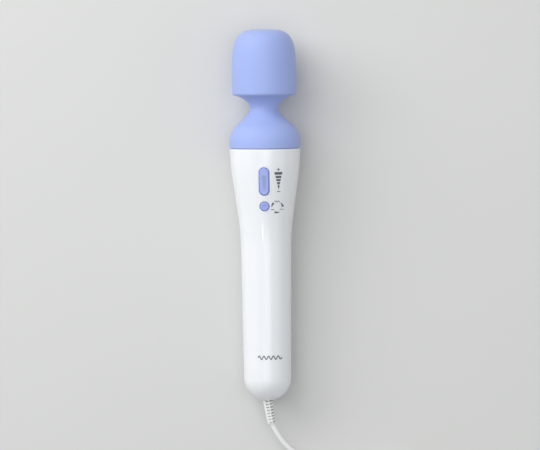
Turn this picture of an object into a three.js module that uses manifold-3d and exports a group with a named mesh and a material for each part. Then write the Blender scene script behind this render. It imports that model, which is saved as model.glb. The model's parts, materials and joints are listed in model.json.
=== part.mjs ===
// Handheld wand massager, mains powered, lying on its back.
//
// Millimetres, +Z up. The long axis runs along Y with the head towards +Y, and the keys face +Z.
// The origin is the centre of the head's flat crown. Places along the wand are given as stations:
// a station is the distance from the crown towards the cord, so station s lies at y = -s.
import * as THREE from "three";
import { mergeVertices } from "three/addons/utils/BufferGeometryUtils.js";
import Module from "manifold-3d";

const wasm = await Module();
wasm.setup();

// ---- Driving dimensions ----

const GAP = 0.3; // between pieces that rest on, or pass through, each other
const SIDES = 24; // facets around the head, neck and collar
const CASING_SIDES = 32; // facets around the handle
const SMALL_SIDES = 16; // facets around shafts, bearings and the motor

// Head
const HEAD_RADIUS = 28.6;
const CROWN_FLAT = 7.6; // radius of the flat middle of the crown
const CROWN_DEPTH = 41; // the crown's curve ends here, and the straight side begins
const RIM_STATION = 57.6;
const RIM_CHAMFER = 1.8;
const CAP_WALL = 3.4;
const HOUSING_WALL = 2.2;
const HOUSING_END = 53.7;

// Neck
const NECK_START = 57.9;
const NECK_START_RADIUS = 25.2;
const WAIST_RADIUS = 12.55;
const WAIST_STATION = 69.7;
const SLEEVE_WALL = 2.2;
const SPRING_RADIUS = 8.6;
const SPRING_WIRE = 2.2;
const SPRING_TURNS = 5;
const SPRING_SEAT_HEAD = 61.4;
const SPRING_SEAT_COLLAR = 80.9;
const SEAT_SPIGOT = 7.1;
const SPIGOT_LENGTH = 3.5;
const NECK_BORE = 5.2;

// Handle
const JOINT_STATION = 104.5; // where the neck sleeve meets the handle
const SHOULDER_RADIUS = 31.5;
const SWELL_START = 102; // the handle is widest here, hidden by the sleeve
const SWELL_LENGTH = 92;
const SWELL = 8; // how much wider than its straight taper the handle is there
const GRIP_RADIUS = 23.35; // the straight taper's radius, carried back to the same place
const GRIP_TAPER = 0.011; // loss of radius for each millimetre of length
const TAIL_STATION = 308.9; // where the rounded tail begins
const TAIL_DEPTH = 20.4;
const CASING_WALL = 2.3;
const CASING_EDGE = 0.8;
const BOOT_HOLE = 5.2;
const COLLAR_SPIGOT_END = 109.5;

// Casing screws: two beside the motor and two near the tail
const SCREW_PLACES = [
  { x: 22.5, station: 116 },
  { x: -22.5, station: 116 },
  { x: 13, station: 296 },
  { x: -13, station: 296 },
];
const BOSS_RADIUS = 3.4;
const SCREW_RADIUS = 1.3;
const SCREW_HEAD_RADIUS = 2.7;
const SCREW_HEAD_Z = -9; // the seat of the screw's head, deep in the rear casing

// Motor and drive
const SHAFT_RADIUS = 3;
const BORE_RADIUS = 3.1;
const MOTOR_RADIUS = 14.2;
const MOTOR_FRONT = 118;
const MOTOR_REAR = 152;
const CAN_WALL = 1;
const MAGNET_SPAN = [121.5, 149];
const CORE_SPAN = [123, 146];
const COMMUTATOR_RADIUS = 5;
const COMMUTATOR_END = 150.5;
const MOTOR_SHAFT_START = 81;
const HEAD_SHAFT_END = 68;
const COUPLING_SPAN = [63, 87];
const MOUNT_STATIONS = { front: 122, rear: 146 };
const MOUNT_THICKNESS = 4;
const MAGNET_RADIUS = 12.9;
const MAGNET_WALL = 1.6;
const CORE_RADIUS = 10.9;
const BEARING_RADIUS = 9.5;
const BEARING_WIDTH = 6;
const FRONT_BEARING = 8.5;
const REAR_BEARING = 46.2;
const WEIGHT_RADIUS = 20;
const WEIGHT_START = 17;
const WEIGHT_LENGTH = 12.5;

// Keys and control board
const SPEED_KEY_WIDTH = 8.6;
const SPEED_KEY_LENGTH = 24.4;
const SPEED_KEY_STATION = 133.3;
const POWER_KEY_RADIUS = 4;
const POWER_KEY_STATION = 155.3;
const KEY_PROUD = 1.1; // how far a key stands above the casing
const KEY_GAP = 0.4;
const KEY_BOTTOM = 21.3;
const FLANGE_WIDTH = 1; // how far a key's flange reaches past it, under the casing
const FLANGE_THICKNESS = 0.5;
const ROCKER_PIN_Z = 24;
const ROCKER_PIN_RADIUS = 1;
const ROCKER_PIN_REACH = 7.8; // from the middle to each end of the pin
const PIN_CLEARANCE = 0.2;
const SWITCH_REACH = 8.5; // from the rocker's pin to each of its two switches
const BOARD_TOP = 16.6;
const BOARD_THICKNESS = 1.6;
const CONTROL_BOARD_WIDTH = 20;
const CONTROL_BOARD_SPAN = [119, 169];
const SWITCH_SIDE = 6;
const SWITCH_TOP = 20.2;
const PLUNGER_RADIUS = 1.6;
const PLUNGER_BOTTOM = 18.6;

// Power board and cord
const POWER_BOARD_TOP = -7.4;
const POWER_BOARD_WIDTH = 26;
const POWER_BOARD_SPAN = [184, 282];
const ON_POWER_BOARD = POWER_BOARD_TOP + GAP;
const CLAMP_STATION = 304;
const CLAMP_LENGTH = 8;
const CLAMP_WIDTH = 20;
const CLAMP_TOP = 4.2;
const CLAMP_SCREW_X = 7;
const CLAMP_SCREW_RADIUS = 1.2;
const CLAMP_SCREW_END = -9;
const CORD_RADIUS = 2.2;
const CORD_BORE = 2.5;
const INNER_CORD_SPAN = [298.6, 324];
const BOOT_START = 321.5;
const BOOT_LENGTH = 28.4;
const BOOT_FLANGE_RADIUS = 6.2;
const BOOT_ROOT_RADIUS = 4.5;
const BOOT_TIP_RADIUS = 3.5;
const PLUG_LENGTH = 34;
const PLUG_WIDTH = 26;
const PLUG_THICKNESS = 16;
const PLUG_NECK = 3.8; // half the width of the plug where the cord enters
const PLUG_NECK_LENGTH = 10;
const BLADE_SPACING = 12.7;
const BLADE_WIDTH = 6.3;
const BLADE_THICKNESS = 1.5;
const BLADE_LENGTH = 17;
const BLADE_POCKET = 8;

// ---- Geometry helpers ----

// A closed three.js geometry as a solid that can be joined and cut.
function solid(geometry) {
  const bare = geometry.index ? geometry.toNonIndexed() : geometry.clone();
  bare.deleteAttribute("normal");
  bare.deleteAttribute("uv");
  const merged = mergeVertices(bare, 1e-3);
  const corners = merged.index.array;
  const triVerts = [];
  for (let i = 0; i < corners.length; i += 3) {
    const [a, b, c] = corners.slice(i, i + 3);
    if (a !== b && b !== c && c !== a) triVerts.push(a, b, c);
  }
  return new wasm.Manifold(
    new wasm.Mesh({
      numProp: 3,
      vertProperties: merged.attributes.position.array,
      triVerts: new Uint32Array(triVerts),
    }),
  );
}

// A solid as a three.js geometry.
function geometryOf(shape) {
  const { vertProperties, triVerts } = shape.getMesh();
  const geometry = new THREE.BufferGeometry();
  geometry.setAttribute("position", new THREE.Float32BufferAttribute(vertProperties, 3));
  geometry.setIndex(new THREE.Uint32BufferAttribute(triVerts, 1));
  const faceted = geometry.toNonIndexed();
  faceted.computeVertexNormals();
  return faceted;
}

function cut(geometry, ...tools) {
  return geometryOf(tools.reduce((left, tool) => left.subtract(solid(tool)), solid(geometry)));
}

function join(...pieces) {
  const [first, ...others] = pieces.map(solid);
  return geometryOf(others.reduce((whole, piece) => whole.add(piece), first));
}

function common(a, b) {
  return geometryOf(solid(a).intersect(solid(b)));
}

// A solid of revolution about the wand's axis. The profile is a list of [radius, station].
function turned(profile, sides = SIDES) {
  const points = profile.map(([radius, station]) => new THREE.Vector2(radius, -station));
  const meetsAxis = points[0].x === 0 && points.at(-1).x === 0;
  if (!meetsAxis) points.push(points[0].clone());
  if (THREE.ShapeUtils.area(points) < 0) points.reverse();
  return new THREE.LatheGeometry(points, sides);
}

// A ring about the wand's axis.
function ring(inner, outer, from, to, sides = SMALL_SIDES) {
  return turned([[inner, from], [outer, from], [outer, to], [inner, to]], sides);
}

// Cylinders along each direction.
function postZ(radius, bottom, top, x, station, sides = 12) {
  return new THREE.CylinderGeometry(radius, radius, top - bottom, sides)
    .rotateX(Math.PI / 2)
    .translate(x, -station, (bottom + top) / 2);
}

function rodY(radius, from, to, x = 0, z = 0, sides = 12) {
  return new THREE.CylinderGeometry(radius, radius, to - from, sides)
    .translate(x, -(from + to) / 2, z);
}

function rodX(radius, from, to, station, z, sides = 12) {
  return new THREE.CylinderGeometry(radius, radius, to - from, sides)
    .rotateZ(Math.PI / 2)
    .translate((from + to) / 2, -station, z);
}

// A block between two stations and two heights, centred on x.
function block(width, from, to, bottom, top, x = 0) {
  return new THREE.BoxGeometry(width, to - from, top - bottom)
    .translate(x, -(from + to) / 2, (bottom + top) / 2);
}

// A flat outline, drawn across the wand's axis, carried from one station to another.
function alongWand(shape, from, to, curveSegments = 6) {
  return new THREE.ExtrudeGeometry(shape, { depth: to - from, bevelEnabled: false, curveSegments })
    .rotateX(Math.PI / 2)
    .translate(0, -from, 0);
}

// A flat outline, drawn from above, carried from one height to another.
function upright(shape, bottom, top, station, curveSegments = 6) {
  return new THREE.ExtrudeGeometry(shape, { depth: top - bottom, bevelEnabled: false, curveSegments })
    .translate(0, -station, bottom);
}

function stadium(width, length) {
  const radius = width / 2;
  const centre = length / 2 - radius;
  const shape = new THREE.Shape();
  shape.absarc(0, centre, radius, 0, Math.PI, false);
  shape.absarc(0, -centre, radius, Math.PI, 2 * Math.PI, false);
  return shape;
}

function sector(inner, outer, from, to) {
  const shape = new THREE.Shape();
  shape.absarc(0, 0, outer, from, to, false);
  shape.absarc(0, 0, inner, to, from, true);
  return shape;
}

// A round wire along a curve.
function wire(curve, radius, steps, sides = 8) {
  const section = new THREE.Shape().absarc(0, 0, radius, 0, 2 * Math.PI, false);
  return new THREE.ExtrudeGeometry(section, {
    steps,
    extrudePath: curve,
    curveSegments: sides / 2,
    bevelEnabled: false,
  });
}

// A smooth curve through places given as [x, station, z].
function through(...places) {
  return new THREE.CatmullRomCurve3(places.map(([x, station, z]) => new THREE.Vector3(x, -station, z)));
}

// The part of a curve between two distances along it.
class Stretch extends THREE.Curve {
  constructor(whole, from, to) {
    super();
    this.whole = whole;
    this.from = from / whole.getLength();
    this.to = to / whole.getLength();
  }

  getPoint(t, target = new THREE.Vector3()) {
    return target.copy(this.whole.getPointAt(this.from + (this.to - this.from) * t));
  }
}

class Helix extends THREE.Curve {
  constructor(radius, turns, from, to) {
    super();
    Object.assign(this, { radius, turns, start: from, end: to });
  }

  getPoint(t, target = new THREE.Vector3()) {
    const angle = 2 * Math.PI * this.turns * t;
    const station = this.start + (this.end - this.start) * t;
    return target.set(this.radius * Math.sin(angle), -station, this.radius * Math.cos(angle));
  }
}

// Bends a straight piece, which begins at a station on the axis, along a curve that begins there too.
function bent(geometry, curve, start) {
  const length = curve.getLength();
  const place = geometry.getAttribute("position");
  const up = new THREE.Vector3(0, 0, 1);
  for (let i = 0; i < place.count; i += 1) {
    const along = (-place.getY(i) - start) / length;
    const tangent = curve.getTangentAt(along);
    const side = up.clone().cross(tangent).normalize();
    const above = tangent.clone().cross(side);
    const point = curve.getPointAt(along)
      .addScaledVector(side, place.getX(i))
      .addScaledVector(above, place.getZ(i));
    place.setXYZ(i, point.x, point.y, point.z);
  }
  return geometry;
}

// ---- Outlines, each a list of [radius, station] from the crown towards the cord ----

function bezier(divisions, ...controls) {
  const curve = new THREE.CubicBezierCurve(...controls.map(([r, s]) => new THREE.Vector2(r, s)));
  return curve.getPoints(divisions).map(({ x, y }) => [x, y]);
}

// The same outline moved inwards, each point along its own normal.
function inset(profile, distance) {
  return profile.map(([radius, station], i) => {
    const [r0, s0] = profile[Math.max(i - 1, 0)];
    const [r1, s1] = profile[Math.min(i + 1, profile.length - 1)];
    const length = Math.hypot(r1 - r0, s1 - s0);
    return [
      radius - (distance * (s1 - s0)) / length,
      station + (distance * (r1 - r0)) / length,
    ];
  });
}

// An outline's radius at a station, on the straight line between its two nearest points.
function radiusAt(profile, station) {
  const after = profile.findIndex(([, s]) => s >= station);
  const [r0, s0] = profile[after - 1];
  const [r1, s1] = profile[after];
  return r0 + ((r1 - r0) * (station - s0)) / (s1 - s0);
}

const crown = bezier(
  7,
  [CROWN_FLAT, 0],
  [27, 0],
  [HEAD_RADIUS, 14.2],
  [HEAD_RADIUS, CROWN_DEPTH],
);

// The neck's outline: in to the waist, out to the shoulder's inflection, and round to the joint.
const neckTop = [NECK_START_RADIUS, NECK_START];
const waist = [WAIST_RADIUS, WAIST_STATION];
const inflection = [25.96, 85.54];
const neckEnd = [SHOULDER_RADIUS, JOINT_STATION];
const neckOutline = [
  ...bezier(4, neckTop, [18.4, 60.4], [WAIST_RADIUS, 64.8], waist),
  ...bezier(5, waist, [WAIST_RADIUS, 75.1], [24.55, 83.72], inflection).slice(1),
  ...bezier(3, inflection, [31.4, 92.56], [SHOULDER_RADIUS, 97.5], neckEnd).slice(1),
];

function casingRadius(station) {
  const past = station - SWELL_START;
  const swell = past < SWELL_LENGTH ? (1 + Math.cos((Math.PI * past) / SWELL_LENGTH)) / 2 : 0;
  return GRIP_RADIUS - GRIP_TAPER * past + SWELL * swell;
}

// The handle's outline, moved in by a distance, from its open end to a hole in the tail.
function casingOutline(depth, hole) {
  const start = JOINT_STATION + GAP;
  const outline = [];
  const swellSteps = 8;
  for (let i = 0; i <= swellSteps; i += 1) {
    const station = start + (SWELL_LENGTH * i) / swellSteps;
    outline.push([casingRadius(station) - depth, station]);
  }
  const radius = casingRadius(TAIL_STATION) - depth;
  const lastAngle = Math.acos(hole / radius);
  const tailSteps = 5;
  for (let i = 0; i <= tailSteps; i += 1) {
    const angle = (lastAngle * i) / tailSteps;
    outline.push([radius * Math.cos(angle), TAIL_STATION + (TAIL_DEPTH - depth) * Math.sin(angle)]);
  }
  return outline;
}

// ---- The assembly ----

const massager = new THREE.Group();

const finishes = {
  silicone: { color: 0xacbcf7, roughness: 0.6, metalness: 0 },
  key: { color: 0xa6b2f0, roughness: 0.45, metalness: 0 },
  casing: { color: 0xeef1f5, roughness: 0.22, metalness: 0 },
  nylon: { color: 0xd8d9d2, roughness: 0.5, metalness: 0 },
  darkPlastic: { color: 0x2b2c2f, roughness: 0.5, metalness: 0 },
  steel: { color: 0xb9bcc0, roughness: 0.3, metalness: 1 },
  brass: { color: 0xc9a24e, roughness: 0.35, metalness: 1 },
  copper: { color: 0xb8683c, roughness: 0.4, metalness: 1 },
  ferrite: { color: 0x3a3836, roughness: 0.7, metalness: 0 },
  board: { color: 0x2f6b46, roughness: 0.5, metalness: 0 },
  glass: { color: 0xd9e6e6, roughness: 0.1, metalness: 0 },
  blue: { color: 0x2f5fa8, roughness: 0.4, metalness: 0 },
  brown: { color: 0x6b4630, roughness: 0.6, metalness: 0 },
  red: { color: 0xb03a30, roughness: 0.5, metalness: 0 },
};

function add(name, geometry, finish) {
  const mesh = new THREE.Mesh(geometry, new THREE.MeshStandardMaterial(finishes[finish]));
  mesh.name = name;
  massager.add(mesh);
}

// The soft cap over the head: a cup with an even wall.
function addHeadCap() {
  const rim = [
    [HEAD_RADIUS, RIM_STATION - RIM_CHAMFER],
    [HEAD_RADIUS - 0.5, RIM_STATION - 0.6],
    [HEAD_RADIUS - RIM_CHAMFER, RIM_STATION],
    [HEAD_RADIUS - CAP_WALL, RIM_STATION],
  ];
  const inner = inset(crown, CAP_WALL).reverse();
  add("head_cap", turned([[0, 0], ...crown, ...rim, ...inner, [0, CAP_WALL]]), "silicone");
}

const HEAD_SCREW_RING = 19.2; // radius of the circle that the head's screws stand on
const HEAD_BOSS_START = 31;
const HEAD_SCREW_END = 39;
const BASE_TOP = 49.5;
const BASE_FLANGE_TOP = 54;
const BASE_SCREW_SEAT = 53.7;
const headScrewPlaces = [0, 1, 2].map((i) => {
  const angle = (2 * Math.PI * i) / 3 + Math.PI / 2;
  return { x: HEAD_SCREW_RING * Math.cos(angle), z: HEAD_SCREW_RING * Math.sin(angle) };
});
const BEARING_BOSS = 12.2;
const BEARING_SEAT = BEARING_RADIUS + GAP;

// The rigid cup under the cap, with the front bearing's seat and three screw bosses.
function addHeadHousing() {
  const clearance = CAP_WALL + GAP;
  const outer = inset(crown, clearance);
  const ceiling = clearance + HOUSING_WALL;
  const inner = inset(crown, ceiling).filter(([radius]) => radius > BEARING_BOSS + 1);
  const outerRadius = HEAD_RADIUS - clearance;
  const bearingTop = FRONT_BEARING - GAP;
  const cup = turned([
    [0, clearance],
    ...outer,
    [outerRadius, HOUSING_END],
    [outerRadius - HOUSING_WALL, HOUSING_END],
    ...inner.reverse(),
    [BEARING_BOSS, ceiling],
    [BEARING_BOSS, FRONT_BEARING + BEARING_WIDTH],
    [BEARING_SEAT, FRONT_BEARING + BEARING_WIDTH],
    [BEARING_SEAT, bearingTop],
    [0, bearingTop],
  ]);
  const bossEnd = BASE_TOP - GAP;
  const inside = rodY(outerRadius - 1, HEAD_BOSS_START - 1, bossEnd, 0, 0, SIDES);
  const bosses = headScrewPlaces.map(({ x, z }) => {
    const post = rodY(BOSS_RADIUS, HEAD_BOSS_START, bossEnd, x, z);
    return common(post, inside);
  });
  const holes = headScrewPlaces.map(({ x, z }) => (
    rodY(SCREW_RADIUS + GAP, HEAD_SCREW_END - 2, bossEnd + 1, x, z)
  ));
  add("head_housing", cut(join(cup, ...bosses), ...holes), "nylon");
}

// The plate that closes the head: the rear bearing's seat above and the spring's seat below.
function addHeadBase() {
  const wholeWall = inset(neckOutline, SLEEVE_WALL + GAP);
  const wall = wholeWall.filter(([, s]) => s > RIM_STATION + 0.5 && s < SPRING_SEAT_HEAD);
  const housingInner = HEAD_RADIUS - CAP_WALL - GAP - HOUSING_WALL;
  const flange = HEAD_RADIUS - CAP_WALL - 2 * GAP;
  const plate = turned([
    [BEARING_SEAT, REAR_BEARING],
    [BEARING_BOSS, REAR_BEARING],
    [BEARING_BOSS, BASE_TOP],
    [housingInner - GAP, BASE_TOP],
    [housingInner - GAP, BASE_FLANGE_TOP],
    [flange, BASE_FLANGE_TOP],
    [flange, RIM_STATION],
    [radiusAt(wholeWall, RIM_STATION), RIM_STATION],
    ...wall,
    [radiusAt(wholeWall, SPRING_SEAT_HEAD), SPRING_SEAT_HEAD],
    [SEAT_SPIGOT, SPRING_SEAT_HEAD],
    [SEAT_SPIGOT, SPRING_SEAT_HEAD + SPIGOT_LENGTH],
    [NECK_BORE, SPRING_SEAT_HEAD + SPIGOT_LENGTH],
    [NECK_BORE, REAR_BEARING + BEARING_WIDTH + GAP],
    [BEARING_SEAT, REAR_BEARING + BEARING_WIDTH + GAP],
  ]);
  const holes = headScrewPlaces.flatMap(({ x, z }) => [
    rodY(SCREW_RADIUS + GAP, BASE_TOP - 1, BASE_SCREW_SEAT + 1, x, z),
    rodY(SCREW_HEAD_RADIUS + GAP, BASE_SCREW_SEAT, SPRING_SEAT_HEAD, x, z),
  ]);
  add("head_base", cut(plate, ...holes), "nylon");
}

function addHeadScrews() {
  headScrewPlaces.forEach(({ x, z }, i) => {
    const shank = rodY(SCREW_RADIUS, HEAD_SCREW_END, BASE_SCREW_SEAT + 1, x, z);
    const head = rodY(SCREW_HEAD_RADIUS, BASE_SCREW_SEAT + 0.1, BASE_SCREW_SEAT + 2, x, z);
    add(`head_screw_${i + 1}`, join(shank, head), "steel");
  });
}

// A sealed ball bearing as its outer and inner races, with the shield as part of the outer one.
function addBearing(name, start) {
  const end = start + BEARING_WIDTH - 0.1;
  const shieldInner = 5.7;
  const innerRace = 5.3;
  add(`${name}_outer`, ring(shieldInner, BEARING_RADIUS, start, end), "steel");
  add(`${name}_inner`, ring(BORE_RADIUS, innerRace, start, end), "steel");
}

// The off-centre weight that makes the head shake: a hub with half a disc of steel.
function addEccentricWeight() {
  const hub = 6;
  const shape = new THREE.Shape();
  shape.absarc(0, 0, WEIGHT_RADIUS, Math.PI, 2 * Math.PI, false);
  shape.absarc(0, 0, hub, 0, Math.PI, false);
  shape.holes.push(new THREE.Path().absarc(0, 0, BORE_RADIUS, 0, 2 * Math.PI, true));
  const end = WEIGHT_START + WEIGHT_LENGTH;
  add("eccentric_weight", alongWand(shape, WEIGHT_START, end, 8), "steel");
}

function addHeadShaft() {
  const shaft = rodY(SHAFT_RADIUS, FRONT_BEARING + 0.2, HEAD_SHAFT_END, 0, 0, SMALL_SIDES);
  add("head_shaft", shaft, "steel");
}

// The moulded cover from under the head, over the flexible neck, to the handle.
function addNeckSleeve() {
  const outside = turned([[0, NECK_START], ...neckOutline, [0, JOINT_STATION]]);
  const innerWall = inset(neckOutline, SLEEVE_WALL);
  const past = [SHOULDER_RADIUS - SLEEVE_WALL, JOINT_STATION + 1];
  const inside = turned([[0, innerWall[0][1]], ...innerWall, past, [0, past[1]]]);
  add("neck_sleeve", cut(outside, inside), "silicone");
}

function addNeckSpring() {
  const margin = SPRING_WIRE / 2 + 0.2;
  const from = SPRING_SEAT_HEAD + margin;
  const to = SPRING_SEAT_COLLAR - margin;
  const helix = new Helix(SPRING_RADIUS, SPRING_TURNS, from, to);
  add("neck_spring", wire(helix, SPRING_WIRE / 2, 12 * SPRING_TURNS, 6), "steel");
}

// The flexible tube that joins the motor's shaft to the head's shaft.
function addDriveCoupling() {
  const tube = ring(BORE_RADIUS + 0.1, NECK_BORE - 0.5, ...COUPLING_SPAN);
  add("drive_coupling", tube, "darkPlastic");
}

// The rigid collar inside the shoulder: the spring's seat above, and a spigot held by both casings.
function addNeckCollar() {
  const wholeWall = inset(neckOutline, SLEEVE_WALL + GAP);
  const wall = wholeWall.filter(([, station]) => station > SPRING_SEAT_COLLAR + 0.5);
  const spigot = casingRadius(COLLAR_SPIGOT_END) - CASING_WALL - 2 * GAP;
  const spigotWall = 2.4;
  const hollowStart = 99;
  const coneStart = 87;
  add("neck_collar", turned([
    [NECK_BORE, SPRING_SEAT_COLLAR - SPIGOT_LENGTH],
    [SEAT_SPIGOT, SPRING_SEAT_COLLAR - SPIGOT_LENGTH],
    [SEAT_SPIGOT, SPRING_SEAT_COLLAR],
    [radiusAt(wholeWall, SPRING_SEAT_COLLAR), SPRING_SEAT_COLLAR],
    ...wall,
    [spigot, JOINT_STATION + GAP / 2],
    [spigot, COLLAR_SPIGOT_END],
    [spigot - spigotWall, COLLAR_SPIGOT_END],
    [spigot - spigotWall, hollowStart],
    [16, coneStart],
    [NECK_BORE, coneStart],
  ]), "nylon");
}

const FAR = 60; // beyond the handle's widest point
const insideStart = JOINT_STATION + 3;
const casingInside = turned([
  [0, insideStart],
  ...casingOutline(1, BOOT_HOLE).filter(([, station]) => station > insideStart),
  [0, TAIL_STATION + 10],
], CASING_SIDES);

// Both half shells begin as one hollow body of revolution.
function casingShell() {
  const outer = casingOutline(0, BOOT_HOLE);
  const inner = casingOutline(CASING_WALL, BOOT_HOLE);
  const [mouthRadius, mouthStation] = outer[0];
  outer[0] = [mouthRadius, mouthStation + CASING_EDGE];
  const edge = [mouthRadius - CASING_EDGE, mouthStation];
  return turned([edge, ...outer, ...inner.reverse()], CASING_SIDES);
}

const lengthOfCasing = [JOINT_STATION - 5, TAIL_STATION + 30];
const speedAperture = stadium(SPEED_KEY_WIDTH + 2 * KEY_GAP, SPEED_KEY_LENGTH + 2 * KEY_GAP);
const PIN_LUG_INNER = 6;
const PIN_LUG_WIDTH = 2.2;

function rockerPinHole() {
  const reach = ROCKER_PIN_REACH + 1;
  const radius = ROCKER_PIN_RADIUS + PIN_CLEARANCE;
  return rodX(radius, -reach, reach, SPEED_KEY_STATION, ROCKER_PIN_Z);
}

// The front half: key openings, lugs for the rocker's pin, and bosses that take the screws.
function addFrontCasing() {
  const rearHalf = block(2 * FAR, ...lengthOfCasing, -FAR, GAP / 2);
  const bosses = SCREW_PLACES.map(({ x, station }) => postZ(BOSS_RADIUS, GAP / 2, FAR, x, station));
  const lugs = [-1, 1].map((side) => block(
    PIN_LUG_WIDTH,
    SPEED_KEY_STATION - 3,
    SPEED_KEY_STATION + 3,
    ROCKER_PIN_Z - 2.6,
    FAR,
    side * (PIN_LUG_INNER + PIN_LUG_WIDTH / 2),
  ));
  const fittings = [...bosses, ...lugs].map((piece) => common(piece, casingInside));
  const half = cut(casingShell(), rearHalf);
  const holes = SCREW_PLACES.map(({ x, station }) => postZ(SCREW_RADIUS + GAP, -1, 10, x, station));
  add("front_casing", cut(
    join(half, ...fittings),
    ...holes,
    rockerPinHole(),
    upright(speedAperture, 10, FAR, SPEED_KEY_STATION, 4),
    postZ(POWER_KEY_RADIUS + KEY_GAP, 10, FAR, 0, POWER_KEY_STATION, SMALL_SIDES),
  ), "casing");
}

// The rear half: deep screw recesses, and the saddle that the cord is clamped on.
function addRearCasing() {
  const frontHalf = block(2 * FAR, ...lengthOfCasing, -GAP / 2, FAR);
  const bosses = SCREW_PLACES.map(({ x, station }) => (
    postZ(BOSS_RADIUS + 1.2, -FAR, -GAP / 2, x, station)
  ));
  const saddle = block(
    CLAMP_WIDTH,
    CLAMP_STATION - CLAMP_LENGTH / 2,
    CLAMP_STATION + CLAMP_LENGTH / 2,
    -FAR,
    -CORD_RADIUS - GAP,
  );
  const fittings = [...bosses, saddle].map((piece) => common(piece, casingInside));
  const half = cut(casingShell(), frontHalf);
  const holes = SCREW_PLACES.flatMap(({ x, station }) => [
    postZ(SCREW_RADIUS + GAP, SCREW_HEAD_Z - 1, 1, x, station),
    postZ(SCREW_HEAD_RADIUS + GAP, -FAR, SCREW_HEAD_Z, x, station),
  ]);
  const clampHoles = [-1, 1].map((side) => (
    postZ(CLAMP_SCREW_RADIUS + GAP, CLAMP_SCREW_END - 1, 1, side * CLAMP_SCREW_X, CLAMP_STATION)
  ));
  add("rear_casing", cut(join(half, ...fittings), ...holes, ...clampHoles), "casing");
}

function addCasingScrews() {
  SCREW_PLACES.forEach(({ x, station }, i) => {
    const shank = postZ(SCREW_RADIUS, SCREW_HEAD_Z - 1, 8, x, station);
    const head = postZ(SCREW_HEAD_RADIUS, SCREW_HEAD_Z - 2.2, SCREW_HEAD_Z - 0.1, x, station);
    add(`casing_screw_${i + 1}`, join(shank, head), "steel");
  });
}

function addMotor() {
  const can = turned([
    [NECK_BORE, MOTOR_FRONT],
    [MOTOR_RADIUS, MOTOR_FRONT],
    [MOTOR_RADIUS, MOTOR_REAR],
    [MOTOR_RADIUS - CAN_WALL, MOTOR_REAR],
    [MOTOR_RADIUS - CAN_WALL, MOTOR_FRONT + CAN_WALL],
    [NECK_BORE, MOTOR_FRONT + CAN_WALL],
  ], 24);
  add("motor_can", can, "steel");
  const endCap = ring(BORE_RADIUS + 0.2, MOTOR_RADIUS, MOTOR_REAR + GAP, MOTOR_REAR + 5, 24);
  add("motor_end_cap", endCap, "darkPlastic");
  const bush = ring(BORE_RADIUS, NECK_BORE - 0.2, MOTOR_FRONT - 3, MOTOR_FRONT + 3);
  add("motor_bush", bush, "brass");
  const halfSpan = Math.PI / 3;
  for (const [name, middle] of [["motor_magnet_left", Math.PI], ["motor_magnet_right", 0]]) {
    const inner = MAGNET_RADIUS - MAGNET_WALL;
    const shape = sector(inner, MAGNET_RADIUS, middle - halfSpan, middle + halfSpan);
    add(name, alongWand(shape, ...MAGNET_SPAN, 5), "ferrite");
  }
  const [coreStart, coreEnd] = CORE_SPAN;
  add("motor_armature", turned([
    [0, MOTOR_SHAFT_START],
    [SHAFT_RADIUS, MOTOR_SHAFT_START],
    [SHAFT_RADIUS, coreStart],
    [CORE_RADIUS, coreStart],
    [CORE_RADIUS, coreEnd],
    [COMMUTATOR_RADIUS, coreEnd],
    [COMMUTATOR_RADIUS, COMMUTATOR_END],
    [SHAFT_RADIUS, COMMUTATOR_END],
    [SHAFT_RADIUS, MOTOR_REAR + 4],
    [0, MOTOR_REAR + 4],
  ], SMALL_SIDES), "copper");
}

// A cradle plate that holds the motor in the rear casing, open above for the control board.
function addMotorMounts() {
  for (const [place, from] of Object.entries(MOUNT_STATIONS)) {
    const to = from + MOUNT_THICKNESS;
    const radius = casingRadius(to) - CASING_WALL - 2 * GAP;
    const disc = ring(MOTOR_RADIUS + GAP, radius, from, to, CASING_SIDES);
    const above = block(2 * FAR, from - 1, to + 1, 6, FAR);
    add(`motor_mount_${place}`, cut(disc, above), "nylon");
  }
}

const switchStations = {
  up: SPEED_KEY_STATION - SWITCH_REACH,
  down: SPEED_KEY_STATION + SWITCH_REACH,
  power: POWER_KEY_STATION,
};

function addControlBoard() {
  const boardBottom = BOARD_TOP - BOARD_THICKNESS;
  const board = block(CONTROL_BOARD_WIDTH, ...CONTROL_BOARD_SPAN, boardBottom, BOARD_TOP);
  add("control_board", board, "board");
  const plungerTop = KEY_BOTTOM - GAP;
  const wellRadius = PLUNGER_RADIUS + GAP;
  for (const [name, station] of Object.entries(switchStations)) {
    const half = SWITCH_SIDE / 2;
    const body = block(SWITCH_SIDE, station - half, station + half, BOARD_TOP + GAP, SWITCH_TOP);
    const well = postZ(wellRadius, PLUNGER_BOTTOM - 0.8, SWITCH_TOP + 1, 0, station);
    add(`switch_body_${name}`, cut(body, well), "darkPlastic");
    const plunger = postZ(PLUNGER_RADIUS, PLUNGER_BOTTOM, plungerTop, 0, station);
    add(`switch_plunger_${name}`, plunger, "nylon");
  }
}

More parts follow.
